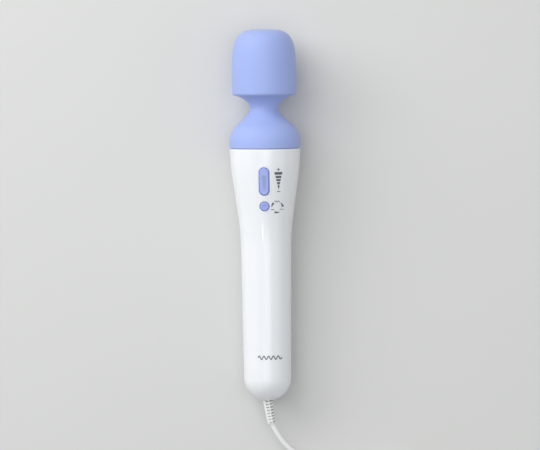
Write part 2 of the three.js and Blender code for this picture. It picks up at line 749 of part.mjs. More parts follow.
// The keys' tops follow the casing, a little above it.
function addKeys() {
  const from = SPEED_KEY_STATION - SPEED_KEY_LENGTH;
  const to = POWER_KEY_STATION + SPEED_KEY_LENGTH;
  const raised = turned([
    [0, from],
    ...casingOutline(-KEY_PROUD, BOOT_HOLE).filter(([, s]) => s > from && s < to),
    [0, to],
  ], CASING_SIDES);
  const flangeTop = KEY_BOTTOM + FLANGE_THICKNESS;
  const grow = 2 * FLANGE_WIDTH;
  const oblong = stadium(SPEED_KEY_WIDTH, SPEED_KEY_LENGTH);
  const wideOblong = stadium(SPEED_KEY_WIDTH + grow, SPEED_KEY_LENGTH + grow);
  const rocker = common(upright(oblong, KEY_BOTTOM, FAR, SPEED_KEY_STATION, 4), raised);
  const rockerFlange = upright(wideOblong, KEY_BOTTOM, flangeTop, SPEED_KEY_STATION, 4);
  add("speed_key", cut(join(rocker, rockerFlange), rockerPinHole()), "key");
  const pinEnds = [-ROCKER_PIN_REACH, ROCKER_PIN_REACH];
  const pin = rodX(ROCKER_PIN_RADIUS, ...pinEnds, SPEED_KEY_STATION, ROCKER_PIN_Z);
  add("rocker_pin", pin, "steel");

  const disc = (radius, top) => (
    postZ(radius, KEY_BOTTOM, top, 0, POWER_KEY_STATION, SMALL_SIDES)
  );
  const round = common(disc(POWER_KEY_RADIUS, FAR), raised);
  add("power_key", join(round, disc(POWER_KEY_RADIUS + FLANGE_WIDTH, flangeTop)), "key");
}

function addPowerBoard() {
  const boardBottom = POWER_BOARD_TOP - BOARD_THICKNESS;
  const board = block(POWER_BOARD_WIDTH, ...POWER_BOARD_SPAN, boardBottom, POWER_BOARD_TOP);
  add("power_board", board, "board");
  const canRadius = 6.5;
  const can = rodY(canRadius, 191, 215, -5, ON_POWER_BOARD + canRadius, SMALL_SIDES);
  add("main_capacitor", can, "blue");
  add("film_capacitor", block(6, 191, 206, ON_POWER_BOARD, ON_POWER_BOARD + 11, 7), "red");
  const tube = 2.6;
  const coil = new THREE.TorusGeometry(6.4, tube, 8, SMALL_SIDES);
  add("choke_coil", coil.translate(0, -229, ON_POWER_BOARD + tube), "copper");
  const rectifier = block(4, 243, 254, ON_POWER_BOARD, ON_POWER_BOARD + 9, 6);
  add("bridge_rectifier", rectifier, "darkPlastic");
  const discRadius = 4.5;
  const varistor = rodX(discRadius, -8.5, -5, 248, ON_POWER_BOARD + discRadius, SMALL_SIDES);
  add("varistor", varistor, "blue");
  add("mains_fuse", rodY(2.6, 258, 278, 7, ON_POWER_BOARD + 2.6), "glass");
}

function addLeads() {
  for (const [name, side, finish] of [["1", -1, "red"], ["2", 1, "darkPlastic"]]) {
    const curve = through(
      [9.5 * side, 188, -5.8],
      [9.5 * side, 178, -3],
      [8 * side, 166, -0.5],
      [7.5 * side, 157.6, 0],
    );
    add(`motor_lead_${name}`, wire(curve, 0.9, 8, 6), finish);
  }
  for (const [name, side, finish] of [["live", -1, "brown"], ["neutral", 1, "blue"]]) {
    const curve = through(
      [3.5 * side, 280.5, -5.8],
      [3.4 * side, 287, -3.6],
      [2 * side, 293, -0.8],
      [1.1 * side, 298, 0],
    );
    add(`mains_lead_${name}`, wire(curve, 0.8, 8, 6), finish);
  }
}

function addCordClamp() {
  const from = CLAMP_STATION - CLAMP_LENGTH / 2;
  const to = CLAMP_STATION + CLAMP_LENGTH / 2;
  const channel = CORD_RADIUS + GAP;
  const screwHole = CLAMP_SCREW_RADIUS + GAP;
  const bar = cut(
    block(CLAMP_WIDTH, from, to, -CORD_RADIUS, CLAMP_TOP),
    rodY(channel, from - 1, to + 1),
    block(2 * channel, from - 1, to + 1, -5, 0),
    postZ(screwHole, -5, 10, -CLAMP_SCREW_X, CLAMP_STATION),
    postZ(screwHole, -5, 10, CLAMP_SCREW_X, CLAMP_STATION),
  );
  add("cord_clamp", bar, "nylon");
  [-CLAMP_SCREW_X, CLAMP_SCREW_X].forEach((x, i) => {
    const shank = postZ(CLAMP_SCREW_RADIUS, CLAMP_SCREW_END, CLAMP_TOP + 0.5, x, CLAMP_STATION);
    const head = postZ(2 * CLAMP_SCREW_RADIUS, CLAMP_TOP + 0.1, CLAMP_TOP + 2, x, CLAMP_STATION);
    add(`clamp_screw_${i + 1}`, join(shank, head), "steel");
  });
  add("mains_cord_inner", rodY(CORD_RADIUS, ...INNER_CORD_SPAN, 0, 0, 8), "casing");
}

// The cord's middle line: out of the tail, down to the surface the wand lies on, and to the plug.
const PLUG_START = [90, 401, -7.6];
const cordLine = through(
  [0, BOOT_START, 0],
  [-0.3, 327, 0],
  [0.75, 336, -0.35],
  [3.45, 350, -1.6],
  [9, 361, -3.6],
  [17, 371.8, -6.4],
  [30, 382, -9.8],
  [47, 391, -12.9],
  [64, 397, -13.4],
  [79, 400.5, -9.6],
  PLUG_START,
  [96, 401, -7.6],
);

function addBoot() {
  const bends = [9, 14, 19, 24, BOOT_LENGTH];
  const taper = (along) => {
    const share = (along - bends[0]) / (BOOT_LENGTH - bends[0]);
    return BOOT_ROOT_RADIUS + (BOOT_TIP_RADIUS - BOOT_ROOT_RADIUS) * share;
  };
  const straight = turned([
    [CORD_BORE, BOOT_START],
    [BOOT_FLANGE_RADIUS, BOOT_START],
    [BOOT_FLANGE_RADIUS, BOOT_START + 3.6],
    [BOOT_ROOT_RADIUS, BOOT_START + 4.4],
    ...bends.map((along) => [taper(along), BOOT_START + along]),
    ...bends.toReversed().map((along) => [CORD_BORE, BOOT_START + along]),
  ], 12);
  add("cord_boot", bent(straight, cordLine, BOOT_START), "casing");
}

function addCord() {
  const seen = new Stretch(cordLine, 3, cordLine.getLength() - 1);
  add("mains_cord", wire(seen, CORD_RADIUS, 44, 8), "casing");
}

// A flat two-blade plug lying on its side, its blades pointing along +X.
function addPlug() {
  const [startX, startStation, startZ] = PLUG_START;
  const neckEndHalf = PLUG_NECK + 0.8;
  const outline = (half, swellEnd) => {
    const shape = new THREE.Shape();
    shape.moveTo(0, -PLUG_NECK);
    shape.lineTo(PLUG_NECK_LENGTH, -neckEndHalf);
    shape.quadraticCurveTo(PLUG_NECK_LENGTH + 3, -half, swellEnd, -half);
    shape.lineTo(PLUG_LENGTH, -half);
    shape.lineTo(PLUG_LENGTH, half);
    shape.lineTo(swellEnd, half);
    shape.quadraticCurveTo(PLUG_NECK_LENGTH + 3, half, PLUG_NECK_LENGTH, neckEndHalf);
    shape.lineTo(0, PLUG_NECK);
    return shape;
  };
  const depth = 2 * PLUG_WIDTH;
  const options = { bevelEnabled: false, curveSegments: 4, depth };
  const above = new THREE.ExtrudeGeometry(outline(PLUG_WIDTH / 2, 22), options)
    .translate(0, 0, -depth / 2);
  const side = new THREE.ExtrudeGeometry(outline(PLUG_THICKNESS / 2, 18), options)
    .translate(0, 0, -depth / 2)
    .rotateX(Math.PI / 2);
  const place = (geometry) => geometry.translate(startX, -startStation, startZ);
  const bore = place(new THREE.CylinderGeometry(CORD_BORE, CORD_BORE, 16, 8).rotateZ(Math.PI / 2));
  const pockets = [-1, 1].map((sign) => place(
    new THREE.BoxGeometry(BLADE_POCKET * 2, BLADE_THICKNESS + 2 * GAP, BLADE_WIDTH + 2 * GAP)
      .translate(PLUG_LENGTH, (sign * BLADE_SPACING) / 2, 0),
  ));
  add("mains_plug", cut(place(common(above, side)), bore, ...pockets), "casing");
  [-1, 1].forEach((sign, i) => {
    const inside = BLADE_POCKET - GAP;
    const blade = new THREE.BoxGeometry(BLADE_LENGTH + inside, BLADE_THICKNESS, BLADE_WIDTH)
      .translate(PLUG_LENGTH + (BLADE_LENGTH - inside) / 2, (sign * BLADE_SPACING) / 2, 0);
    add(`plug_blade_${i + 1}`, place(blade), "brass");
  });
}

addHeadCap();
addHeadHousing();
addHeadBase();
addHeadScrews();
addBearing("bearing_front", FRONT_BEARING);
addBearing("bearing_rear", REAR_BEARING);
addHeadShaft();
addEccentricWeight();
addNeckSleeve();
addNeckSpring();
addDriveCoupling();
addNeckCollar();
addFrontCasing();
addRearCasing();
addCasingScrews();
addMotor();
addMotorMounts();
addControlBoard();
addKeys();
addPowerBoard();
addLeads();
addCordClamp();
addBoot();
addCord();
addPlug();

export default massager;
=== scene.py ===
"""Handheld wand massager: the looks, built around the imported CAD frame.

The wand lies on its back. Its long axis is Y with the head towards +Y, and its keys face +Z.
Sizes are in millimetres and are scaled to metres where vertices are made. A station is the
distance from the crown of the head towards the cord, so station s lies at y = -s.
"""

import json
import math

import bmesh
import bpy
import numpy as np
from mathutils import Matrix, Vector
from mathutils.geometry import tessellate_polygon


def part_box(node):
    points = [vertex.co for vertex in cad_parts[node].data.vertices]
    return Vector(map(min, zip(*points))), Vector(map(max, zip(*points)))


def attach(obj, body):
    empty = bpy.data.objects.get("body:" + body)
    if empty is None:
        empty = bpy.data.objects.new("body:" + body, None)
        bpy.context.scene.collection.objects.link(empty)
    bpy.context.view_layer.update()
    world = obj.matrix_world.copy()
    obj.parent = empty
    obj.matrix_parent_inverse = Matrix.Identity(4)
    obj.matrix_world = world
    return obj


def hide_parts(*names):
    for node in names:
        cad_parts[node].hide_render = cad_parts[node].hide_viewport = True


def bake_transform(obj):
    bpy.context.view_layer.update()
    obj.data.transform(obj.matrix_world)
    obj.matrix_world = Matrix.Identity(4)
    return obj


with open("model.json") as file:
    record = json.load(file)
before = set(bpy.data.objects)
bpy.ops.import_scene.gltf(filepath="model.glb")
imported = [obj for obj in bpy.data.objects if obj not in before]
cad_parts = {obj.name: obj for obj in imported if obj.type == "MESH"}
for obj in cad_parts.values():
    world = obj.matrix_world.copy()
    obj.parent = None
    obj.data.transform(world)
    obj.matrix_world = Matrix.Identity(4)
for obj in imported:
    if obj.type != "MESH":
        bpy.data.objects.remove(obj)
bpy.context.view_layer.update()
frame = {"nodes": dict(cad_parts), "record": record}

MM = 0.001


def frame_box(node):
    """A CAD node's lowest and highest corners in millimetres."""
    low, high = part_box(node)
    return np.array(low) / MM, np.array(high) / MM


# ---- Sizes, from the frame where a CAD box gives them ----

HEAD_RADIUS = frame_box("head_cap")[1][0]
RIM_OVERHANG = 0.6  # how much further the soft rim reaches than the CAD cap's
RIM_STATION = -frame_box("head_cap")[0][1] + RIM_OVERHANG
RIM_FILLET = 2.5
CAP_WALL = 3.4
CROWN_FLAT = 7.6
CROWN_DEPTH = 41

NECK_START = RIM_STATION + 0.02
NECK_BEND_START = 90
NECK_BEND_END = 59
WAIST_RADIUS = 12.55
WAIST_STATION = 69.7
SLEEVE_WALL = 2.2
SPRING_WIRE_RADIUS = 1.1
SPRING_TURNS = 5
COUPLING_WALL = 1.5
HEAD_SPIGOT_END = 65
HEAD_SHAFT_END = -frame_box("head_shaft")[0][1]
COLLAR_SPIGOT_START = 77.3

JOINT_STATION = 104.5
CASING_START = -frame_box("front_casing")[1][1]
SHOULDER_RADIUS = 31.5
SWELL_START = 102
SWELL_LENGTH = 92
SWELL = 8.0
GRIP_RADIUS = 23.35
GRIP_TAPER = 0.011
TAIL_STATION = 308.9
TAIL_DEPTH = 20.4
CASING_WALL = 2.3
CASING_LIP = 1.0
SEAM_HALF_GAP = 0.06
SEAM_ROUND = 0.22
BOOT_HOLE = 5.2

KEY_RADIUS = 4.3
SPEED_KEY_LENGTH = 24.4
SPEED_KEY_HALF = SPEED_KEY_LENGTH / 2 - KEY_RADIUS
SPEED_KEY_STATION = 133.3
POWER_KEY_STATION = 155.3
POWER_KEY_RADIUS = 4.0
KEY_PROUD = 1.1
# The key's rounded shoulder: how far out from where it starts, and how far down.
KEY_SHOULDER = [(0.1, 0.02), (0.2, 0.08), (0.3, 0.22), (0.58, 0.85), (0.86, 1.5), (0.98, 1.85),
                (1.04, 2.3)]
KEY_GAP = 0.25
KEY_BOTTOM = frame_box("speed_key")[0][2]
APERTURE_FILLET = 0.7

SCREW_PLACES = [(22.5, 116.0), (-22.5, 116.0), (13.0, 296.0), (-13.0, 296.0)]
SCREW_RECESS_RADIUS = 3.0
SCREW_TOP_Z = frame_box("casing_screw_1")[0][2]
SCREW_SEAT_Z = SCREW_TOP_Z + 2.1

CORD_RADIUS = 2.15
BOOT_START = 321.5
BOOT_LENGTH = 28.4
BOOT_NECK_END = 7.2
BOOT_ROOT_RADIUS = 4.3
BOOT_TIP_RADIUS = 3.5
# Each kind of slot, twice round the boot: its middle and half-width in degrees, and its floor's radius.
BOOT_SLOTS = [(26, 37, 2.25), (103, 18, 2.7)]
BOOT_BEND_START = 0.5
BOOT_BEND_END = 17
CORD_BEND_LENGTH = 12

FINE_SIDES = 160


# ---- Outlines: lists of (radius, station) from the crown towards the cord ----

def bezier(count, *controls):
    p = np.array(controls, float)
    t = np.linspace(0, 1, count + 1)[:, None]
    curve = (1 - t) ** 3 * p[0] + 3 * (1 - t) ** 2 * t * p[1] + 3 * (1 - t) * t ** 2 * p[2] + t ** 3 * p[3]
    return [tuple(point) for point in curve]


def inset(profile, distance):
    """The same outline moved inwards, each point along its own normal."""
    p = np.array(profile, float)
    along = np.gradient(p, axis=0)
    along /= np.linalg.norm(along, axis=1)[:, None]
    normal = np.stack([along[:, 1], -along[:, 0]], axis=1)
    return [tuple(point) for point in p - normal * distance]


def arc(centre_x, centre_s, radius, from_deg, to_deg, count):
    """Points on a circle, by angle from the first axis."""
    angles = np.radians(np.linspace(from_deg, to_deg, count + 1))
    return [(centre_x + radius * math.cos(a), centre_s + radius * math.sin(a)) for a in angles]


def casing_radius(station):
    past = station - SWELL_START
    swell = (1 + math.cos(math.pi * past / SWELL_LENGTH)) / 2 if past < SWELL_LENGTH else 0
    if station <= TAIL_STATION:
        return GRIP_RADIUS - GRIP_TAPER * past + SWELL * swell
    share = min(1.0, (station - TAIL_STATION) / TAIL_DEPTH)
    return casing_radius(TAIL_STATION) * math.sqrt(1 - share * share)


CROWN = bezier(48, (CROWN_FLAT, 0), (27, 0), (HEAD_RADIUS, 14.2), (HEAD_RADIUS, CROWN_DEPTH))
WAIST = (WAIST_RADIUS, WAIST_STATION)
SHOULDER_BEND = (25.96, 85.54)
NECK_END = (SHOULDER_RADIUS, JOINT_STATION)
NECK_UPPER = bezier(30, (25.7, NECK_START), (18.6, 60.3), (WAIST_RADIUS, 64.8), WAIST)
NECK_LOWER = (
    bezier(32, WAIST, (WAIST_RADIUS, 75.1), (24.55, 83.72), SHOULDER_BEND)
    + bezier(24, SHOULDER_BEND, (31.4, 92.56), (SHOULDER_RADIUS, 97.5), NECK_END)[1:]
)


# ---- Mesh helpers ----

def new_object(name, vertices_mm, faces, material, sharp=38):
    mesh = bpy.data.meshes.new(name)
    mesh.from_pydata([tuple(v) for v in np.asarray(vertices_mm, float) * MM], [], faces)
    work = bmesh.new()
    work.from_mesh(mesh)
    bmesh.ops.remove_doubles(work, verts=work.verts, dist=2e-6)
    bmesh.ops.dissolve_degenerate(work, edges=work.edges, dist=1e-7)
    bmesh.ops.delete(work, geom=[vertex for vertex in work.verts if not vertex.link_faces], context="VERTS")
    bmesh.ops.recalc_face_normals(work, faces=work.faces)
    work.to_mesh(mesh)
    work.free()
    mesh.shade_smooth()
    mesh.set_sharp_from_angle(angle=math.radians(sharp))
    obj = bpy.data.objects.new(name, mesh)
    obj.data.materials.append(material)
    bpy.context.scene.collection.objects.link(obj)
    return obj


def grid_faces(rows, columns, close_rows=False, close_columns=False):
    """Quads over a grid of vertices numbered row by row."""
    faces = []
    for i in range(rows if close_rows else rows - 1):
        for j in range(columns if close_columns else columns - 1):
            a = i * columns + j
            b = i * columns + (j + 1) % columns
            c = (i + 1) % rows * columns + (j + 1) % columns
            d = (i + 1) % rows * columns + j
            faces.append((a, b, c, d))
    return faces


def round_angles(count):
    """Evenly spaced angles once round a circle, in radians."""
    return np.linspace(0, 2 * math.pi, count, endpoint=False)


def end_caps(vertex_count, sides):
    """The faces that close the first and last rings of a tube of rings."""
    return [tuple(range(sides)), tuple(vertex_count - 1 - k for k in range(sides))]


def turned_faces(profile, sides):
    """The faces of a solid of revolution, whose profile closes on itself or on the axis."""
    on_axis = profile[0][0] == 0 and profile[-1][0] == 0
    return grid_faces(len(profile), sides, close_rows=not on_axis, close_columns=True)


def turned(name, profile, material, sides=FINE_SIDES):
    """A solid of revolution about the wand's axis, from a profile of (radius, station)."""
    vertices = [(r * math.sin(a), -s, r * math.cos(a)) for r, s in profile for a in round_angles(sides)]
    return new_object(name, vertices, turned_faces(profile, sides), material)


def turned_upright(name, profile, x, station, material):
    """A solid of revolution about an axis along Z, from a profile of (radius, height)."""
    sides = 48
    vertices = [(x + r * math.cos(a), -station + r * math.sin(a), z)
                for r, z in profile for a in round_angles(sides)]
    return new_object(name, vertices, turned_faces(profile, sides), material)


def prism(name, loops, bottom, top, place, material):
    """A flat outline, and any holes after it, carried between two heights by a placing function.

    Edges longer than a step are split, so that the flat faces can follow a curved surface.
    """
    step = 0.9
    triangles = tessellate_polygon([[Vector((x, y, 0)) for x, y in loop] for loop in loops])
    work = bmesh.new()
    corners = [work.verts.new((x, y, 0)) for loop in loops for x, y in loop]
    for triangle in triangles:
        work.faces.new([corners[k] for k in triangle])
    for _ in range(6):
        long_edges = [edge for edge in work.edges if edge.calc_length() > step]
        if not long_edges:
            break
        bmesh.ops.subdivide_edges(work, edges=long_edges, cuts=1)
        bmesh.ops.triangulate(work, faces=work.faces)
    work.verts.index_update()
    flat = [(vertex.co.x, vertex.co.y) for vertex in work.verts]
    count = len(flat)
    faces = [tuple(vertex.index for vertex in face.verts) for face in work.faces]
    faces += [tuple(count + k for k in reversed(face)) for face in faces]
    for edge in work.edges:
        if edge.is_boundary:
            a, b = (vertex.index for vertex in edge.verts)
            faces.append((a, b, count + b, count + a))
    work.free()
    vertices = [place(x, y, top) for x, y in flat] + [place(x, y, bottom) for x, y in flat]
    return new_object(name, vertices, faces, material, sharp=30)


def swept(name, centres, radius, material, sides=24):
    """A round cord along a line of points, drawn in a little at its two ends."""
    centres = np.asarray(centres, float)
    tangents = np.gradient(centres, axis=0)
    tangents /= np.linalg.norm(tangents, axis=1)[:, None]
    rings = []
    for index, (centre, tangent) in enumerate(zip(centres, tangents)):
        side = np.cross((0, 0, 1), tangent)
        side /= np.linalg.norm(side)
        above = np.cross(tangent, side)
        size = radius if 0 < index < len(centres) - 1 else radius * 0.9
        rings.append([centre + size * (math.cos(a) * side + math.sin(a) * above)
                      for a in round_angles(sides)])
    vertices = np.array(rings).reshape(-1, 3)
    faces = grid_faces(len(rings), sides, close_columns=True) + end_caps(len(vertices), sides)
    return new_object(name, vertices, faces, material, sharp=50)


def rode(obj, body):
    """Puts a piece on its body."""
    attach(obj, body)
    return obj


def stand_for(obj, body, node):
    """Puts a piece on its body in place of a CAD node."""
    rode(obj, body)
    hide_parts(node)


def blend_for(obj, start, end, node):
    """Bakes a piece's placing into its vertices, in place of a CAD node; its two places, start and end, are
    not used.
    """
    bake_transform(obj)
    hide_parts(node)


def on_axis_at(station):
    """The place on the wand's axis at a station, in metres."""
    return Vector((0, -station, 0)) * MM


# ---- Materials ----

COAT_ROUGHNESS = 0.06


def finish(name, colour, roughness, metallic=0.0, mottle=0.04, mottle_scale=30.0, grain=0.3,
           grain_scale=1500.0, grain_depth=0.00002, rough_spread=0.06, specular=0.5, coat=0.0,
           sheen=0.0, subsurface=0.0, subsurface_radius=(0.002, 0.002, 0.003), stretch=(1, 1, 1)):
    """A node material: the colour drifts slightly, the roughness varies, and fine grain bumps the surface."""
    material = bpy.data.materials.new(name)
    material.use_nodes = True
    nodes, links = material.node_tree.nodes, material.node_tree.links
    shader = nodes["Principled BSDF"]

    def put(node, **settings):
        for key, value in settings.items():
            node.inputs[key.replace("_", " ")].default_value = value
        return node

    def add(kind, **settings):
        return put(nodes.new("ShaderNode" + kind), **settings)

    place = add("TexCoord")
    mapping = add("Mapping", Scale=stretch)
    links.new(place.outputs["Object"], mapping.inputs["Vector"])

    drift = add("TexNoise", Scale=mottle_scale, Detail=4)
    links.new(mapping.outputs["Vector"], drift.inputs["Vector"])
    tint = add("ValToRGB")
    low, high = tint.color_ramp.elements
    low.position, high.position = 0.3, 0.7
    low.color = (*[c * (1 - mottle) for c in colour], 1)
    high.color = (*[min(1, c * (1 + mottle)) for c in colour], 1)
    links.new(drift.outputs["Fac"], tint.inputs["Fac"])
    links.new(tint.outputs["Color"], shader.inputs["Base Color"])

    fine = add("TexNoise", Scale=grain_scale, Detail=3)
    links.new(mapping.outputs["Vector"], fine.inputs["Vector"])
    low, high = max(0.02, roughness - rough_spread), min(1, roughness + rough_spread)
    spread = add("MapRange", To_Min=low, To_Max=high)
    links.new(drift.outputs["Fac"], spread.inputs["Value"])
    links.new(spread.outputs["Result"], shader.inputs["Roughness"])
    bump = add("Bump", Strength=grain, Distance=grain_depth)
    links.new(fine.outputs["Fac"], bump.inputs["Height"])
    links.new(bump.outputs["Normal"], shader.inputs["Normal"])

    put(shader, Metallic=metallic, Specular_IOR_Level=specular, Coat_Weight=coat,
        Coat_Roughness=COAT_ROUGHNESS, Sheen_Weight=sheen, Subsurface_Weight=subsurface,
        Subsurface_Radius=subsurface_radius, Subsurface_Scale=1.0)
    return material


SILICONE = finish("lavender_silicone", (0.349, 0.439, 0.80), 0.58, mottle=0.02, grain=0.5,
                  grain_scale=2600, grain_depth=0.00003, rough_spread=0.05, specular=0.35, sheen=0.12,
                  subsurface=0.12)
KEY = finish("lavender_key", (0.352, 0.43, 0.85), 0.42, mottle=0.02, grain=0.35, grain_scale=3500)
KEY_RIB = finish("key_rib", (0.25, 0.35, 0.52), 0.5, mottle=0.05, grain=0.4, grain_scale=3000)
KEY_MARK = finish("key_mark", (0.25, 0.29, 0.64), 0.45, grain_scale=3000)
CASING = finish("white_abs", (0.90, 0.933, 0.97), 0.2, mottle=0.008, mottle_scale=12, grain=0.25,
                grain_scale=700, grain_depth=0.000012, rough_spread=0.04, coat=0.4, subsurface=0.3,
                subsurface_radius=(0.006, 0.006, 0.006))
INK = finish("printed_ink", (0.10, 0.13, 0.16), 0.45, mottle=0.12, mottle_scale=900)
CORD = finish("white_pvc", (0.90, 0.90, 0.895), 0.42, mottle=0.015, grain=0.4, grain_scale=1800,
              subsurface=0.05)
# Painted shade: darker copies of the cord's white PVC for the faces inside the boot's slots, darker in the
# deep slots than in the shallow ones.
PAINTED_DEEP_SLOT_SHADE, PAINTED_SHALLOW_SLOT_SHADE = (
    finish(f"white_pvc_painted_shade_in_{kind}", colour, 0.6, mottle=0.03, grain=0.4, grain_scale=1800)
    for kind, colour in (("slots", (0.47, 0.46, 0.45)), ("shallow_slots", (0.62, 0.62, 0.61)))
)
NYLON = finish("natural_nylon", (0.66, 0.66, 0.60), 0.5, mottle=0.03, subsurface=0.1)
DARK = finish("dark_plastic", (0.025, 0.026, 0.028), 0.45, mottle=0.15, mottle_scale=200)
STEEL = finish("plated_steel", (0.58, 0.59, 0.61), 0.3, metallic=1, mottle=0.06, mottle_scale=300,
               grain_scale=1200, stretch=(1, 8, 1))
BRASS = finish("drawn_brass", (0.74, 0.56, 0.24), 0.26, metallic=1, mottle=0.07, mottle_scale=150,
               stretch=(6, 1, 1))
COPPER = finish("varnished_copper", (0.52, 0.20, 0.08), 0.32, metallic=1, mottle=0.2, mottle_scale=900,
                grain=0.8, grain_scale=2500, coat=0.6, stretch=(1, 6, 1))
FERRITE = finish("sintered_ferrite", (0.04, 0.038, 0.036), 0.7, mottle=0.2, mottle_scale=700, grain=0.8)
BOARD = finish("circuit_board", (0.03, 0.16, 0.06), 0.4, mottle=0.25, mottle_scale=350, grain=0.6,
               grain_scale=900, coat=0.3)
GLASS = finish("fuse_glass", (0.75, 0.80, 0.80), 0.08, mottle=0.03)
BLUE = finish("blue_coat", (0.03, 0.11, 0.37), 0.35, mottle=0.06)
BROWN = finish("brown_coat", (0.15, 0.06, 0.03), 0.45, mottle=0.06)
RED = finish("red_coat", (0.42, 0.05, 0.03), 0.4, mottle=0.06)

FLOOR = finish("pale_floor", (0.656, 0.661, 0.648), 0.75, mottle=0.006, mottle_scale=3, grain=0.15,
               grain_scale=500, grain_depth=0.00004, specular=0.2)

SLOT_MATERIALS = {
    "cap_silicone": SILICONE,
    "key_plastic": KEY,
    "casing_abs": CASING,
    "cord_pvc": CORD,
    "nylon": NYLON,
    "dark_plastic": DARK,
    "steel": STEEL,
    "brass": BRASS,
    "copper": COPPER,
    "ferrite": FERRITE,
    "circuit_board": BOARD,
    "fuse_glass": GLASS,
    "blue_coat": BLUE,
    "brown_coat": BROWN,
    "red_coat": RED,
}


def dress_cad_nodes():
    """Gives every carried-over CAD node the material of its slot."""
    for part in frame["record"]["subparts"]:
        node = frame["nodes"][part["node"]]
        material = SLOT_MATERIALS[part["material_slot"]]
        for index in range(len(node.material_slots)):
            node.material_slots[index].material = material
        if not node.material_slots:
            node.data.materials.append(material)


# ---- Head and neck ----

def build_head_cap():
    """The soft cap, hollow, with a rounded rim."""
    rim = arc(HEAD_RADIUS - RIM_FILLET, RIM_STATION - RIM_FILLET, RIM_FILLET, 0, 90, 8)
    side = [(HEAD_RADIUS, s) for s in np.linspace(CROWN_DEPTH, RIM_STATION - RIM_FILLET, 6)[1:-1]]
    middle = [(r, 0.0) for r in (0, 2.5, 5.0)]
    inner = inset(CROWN[::3], CAP_WALL)[::-1]
    inner_rim = (HEAD_RADIUS - CAP_WALL, RIM_STATION)
    profile = [*middle, *CROWN, *side, *rim, inner_rim, *inner, (0, CAP_WALL)]
    stand_for(turned("head_cap_skin", profile, SILICONE), "head", "head_cap")


def build_neck():
    """The silicone neck, in two lengths that meet at the waist so that each crosses one joint."""
    waist = on_axis_at(WAIST_STATION)
    inner = [p for p in inset(NECK_UPPER, SLEEVE_WALL) if p[1] > NECK_START][::-1]
    inner[0] = (inner[0][0], WAIST_STATION)
    upper = turned("neck_cover_upper", [*NECK_UPPER, *inner, (inner[-1][0], NECK_START)], SILICONE)
    blend_for(upper, waist, on_axis_at(NECK_BEND_END), "neck_sleeve")

    fillet = 0.5
    inner = inset(NECK_LOWER, SLEEVE_WALL)[::-1]
    inner[-1] = (inner[-1][0], WAIST_STATION)
    edge = arc(SHOULDER_RADIUS - fillet, JOINT_STATION - fillet, fillet, 0, 90, 4)
    outer = [p for p in NECK_LOWER if p[1] < JOINT_STATION - fillet]
    lower = turned("neck_cover_lower", [*outer, *edge, *inner], SILICONE)
    blend_for(lower, on_axis_at(NECK_BEND_START), waist, "neck_sleeve")


def build_neck_core():
    """The spring and the drive coupling inside the neck, each in two lengths that meet at the waist."""
    (_, spring_low, _), (spring_reach, spring_high, _) = frame_box("neck_spring")
    first, last = SPRING_WIRE_RADIUS - spring_high, -spring_low - SPRING_WIRE_RADIUS
    coil_radius = spring_reach - SPRING_WIRE_RADIUS
    (_, coupling_low, _), (coupling_radius, coupling_high, _) = frame_box("drive_coupling")

    def coil(name, start, stop):
        sides, rows_per_turn = 12, 20
        turns = SPRING_TURNS * (stop - start) / (last - first)
        rows = round(turns * rows_per_turn) + 1
        vertices = []
        for station in np.linspace(start, stop, rows):
            turn = 2 * math.pi * SPRING_TURNS * (station - first) / (last - first)
            for around in round_angles(sides):
                radius = coil_radius + SPRING_WIRE_RADIUS * math.cos(around)
                y = -station + SPRING_WIRE_RADIUS * math.sin(around)
                vertices.append((radius * math.cos(turn), y, radius * math.sin(turn)))
        faces = grid_faces(rows, sides, close_columns=True) + end_caps(len(vertices), sides)
        return new_object(name, vertices, faces, STEEL, sharp=50)

    def tube(name, start, stop):
        stations = np.linspace(start, stop, 14)
        outer = [(coupling_radius, s) for s in stations]
        inner = [(coupling_radius - COUPLING_WALL, s) for s in stations[::-1]]
        return turned(name, outer + inner, DARK, sides=32)

    waist = on_axis_at(WAIST_STATION)
    collar = on_axis_at(COLLAR_SPIGOT_START)
    for make, node, start, stop, head_end, slot in (
        (coil, "neck_spring", first, last, HEAD_SPIGOT_END, "steel"),
        (tube, "drive_coupling", -coupling_high, -coupling_low, HEAD_SHAFT_END, "dark_plastic"),
    ):
        upper = make(f"{node}_upper", start, WAIST_STATION)
        blend_for(upper, waist, on_axis_at(head_end), node)
        lower = make(f"{node}_lower", WAIST_STATION, stop)
        blend_for(lower, collar, waist, node)


# ---- Handle ----

def casing_profiles():
    """Matching outer and inner outlines, from the open end to the hole in the tail."""
    mouth = casing_radius(CASING_START)
    lip = arc(mouth - CASING_LIP, CASING_START + CASING_LIP, CASING_LIP, -90, 0, 6)
    keys_end = 176  # rows are close together as far as this, around the key openings
    near = np.arange(CASING_START + 2.2, keys_end, 0.75)
    far = np.linspace(keys_end, TAIL_STATION, 42)
    hole_edge = 0.5
    tail_end = math.degrees(math.acos((BOOT_HOLE + hole_edge) / casing_radius(TAIL_STATION)))
    radius = casing_radius(TAIL_STATION)

    def tail(depth):
        return [((radius - depth) * math.cos(a), TAIL_STATION + (TAIL_DEPTH - depth) * math.sin(a))
                for a in np.radians(np.linspace(0, tail_end, 26)[1:])]

    outer = [*lip, *[(casing_radius(s), s) for s in (*near, *far)], *tail(0)]
    inner_stations = [s for _, s in lip] + [*near, *far]
    inner = [(casing_radius(s) - CASING_WALL, s) for s in inner_stations] + tail(CASING_WALL)
    last_radius, last_station = outer[-1]
    outer += [(last_radius - hole_edge * 0.65, last_station), (BOOT_HOLE, last_station - hole_edge)]
    last_station = inner[-1][1]
    inner += [(BOOT_HOLE + 0.3, last_station), (BOOT_HOLE, last_station + 0.1)]
    return np.array(outer), np.array(inner)


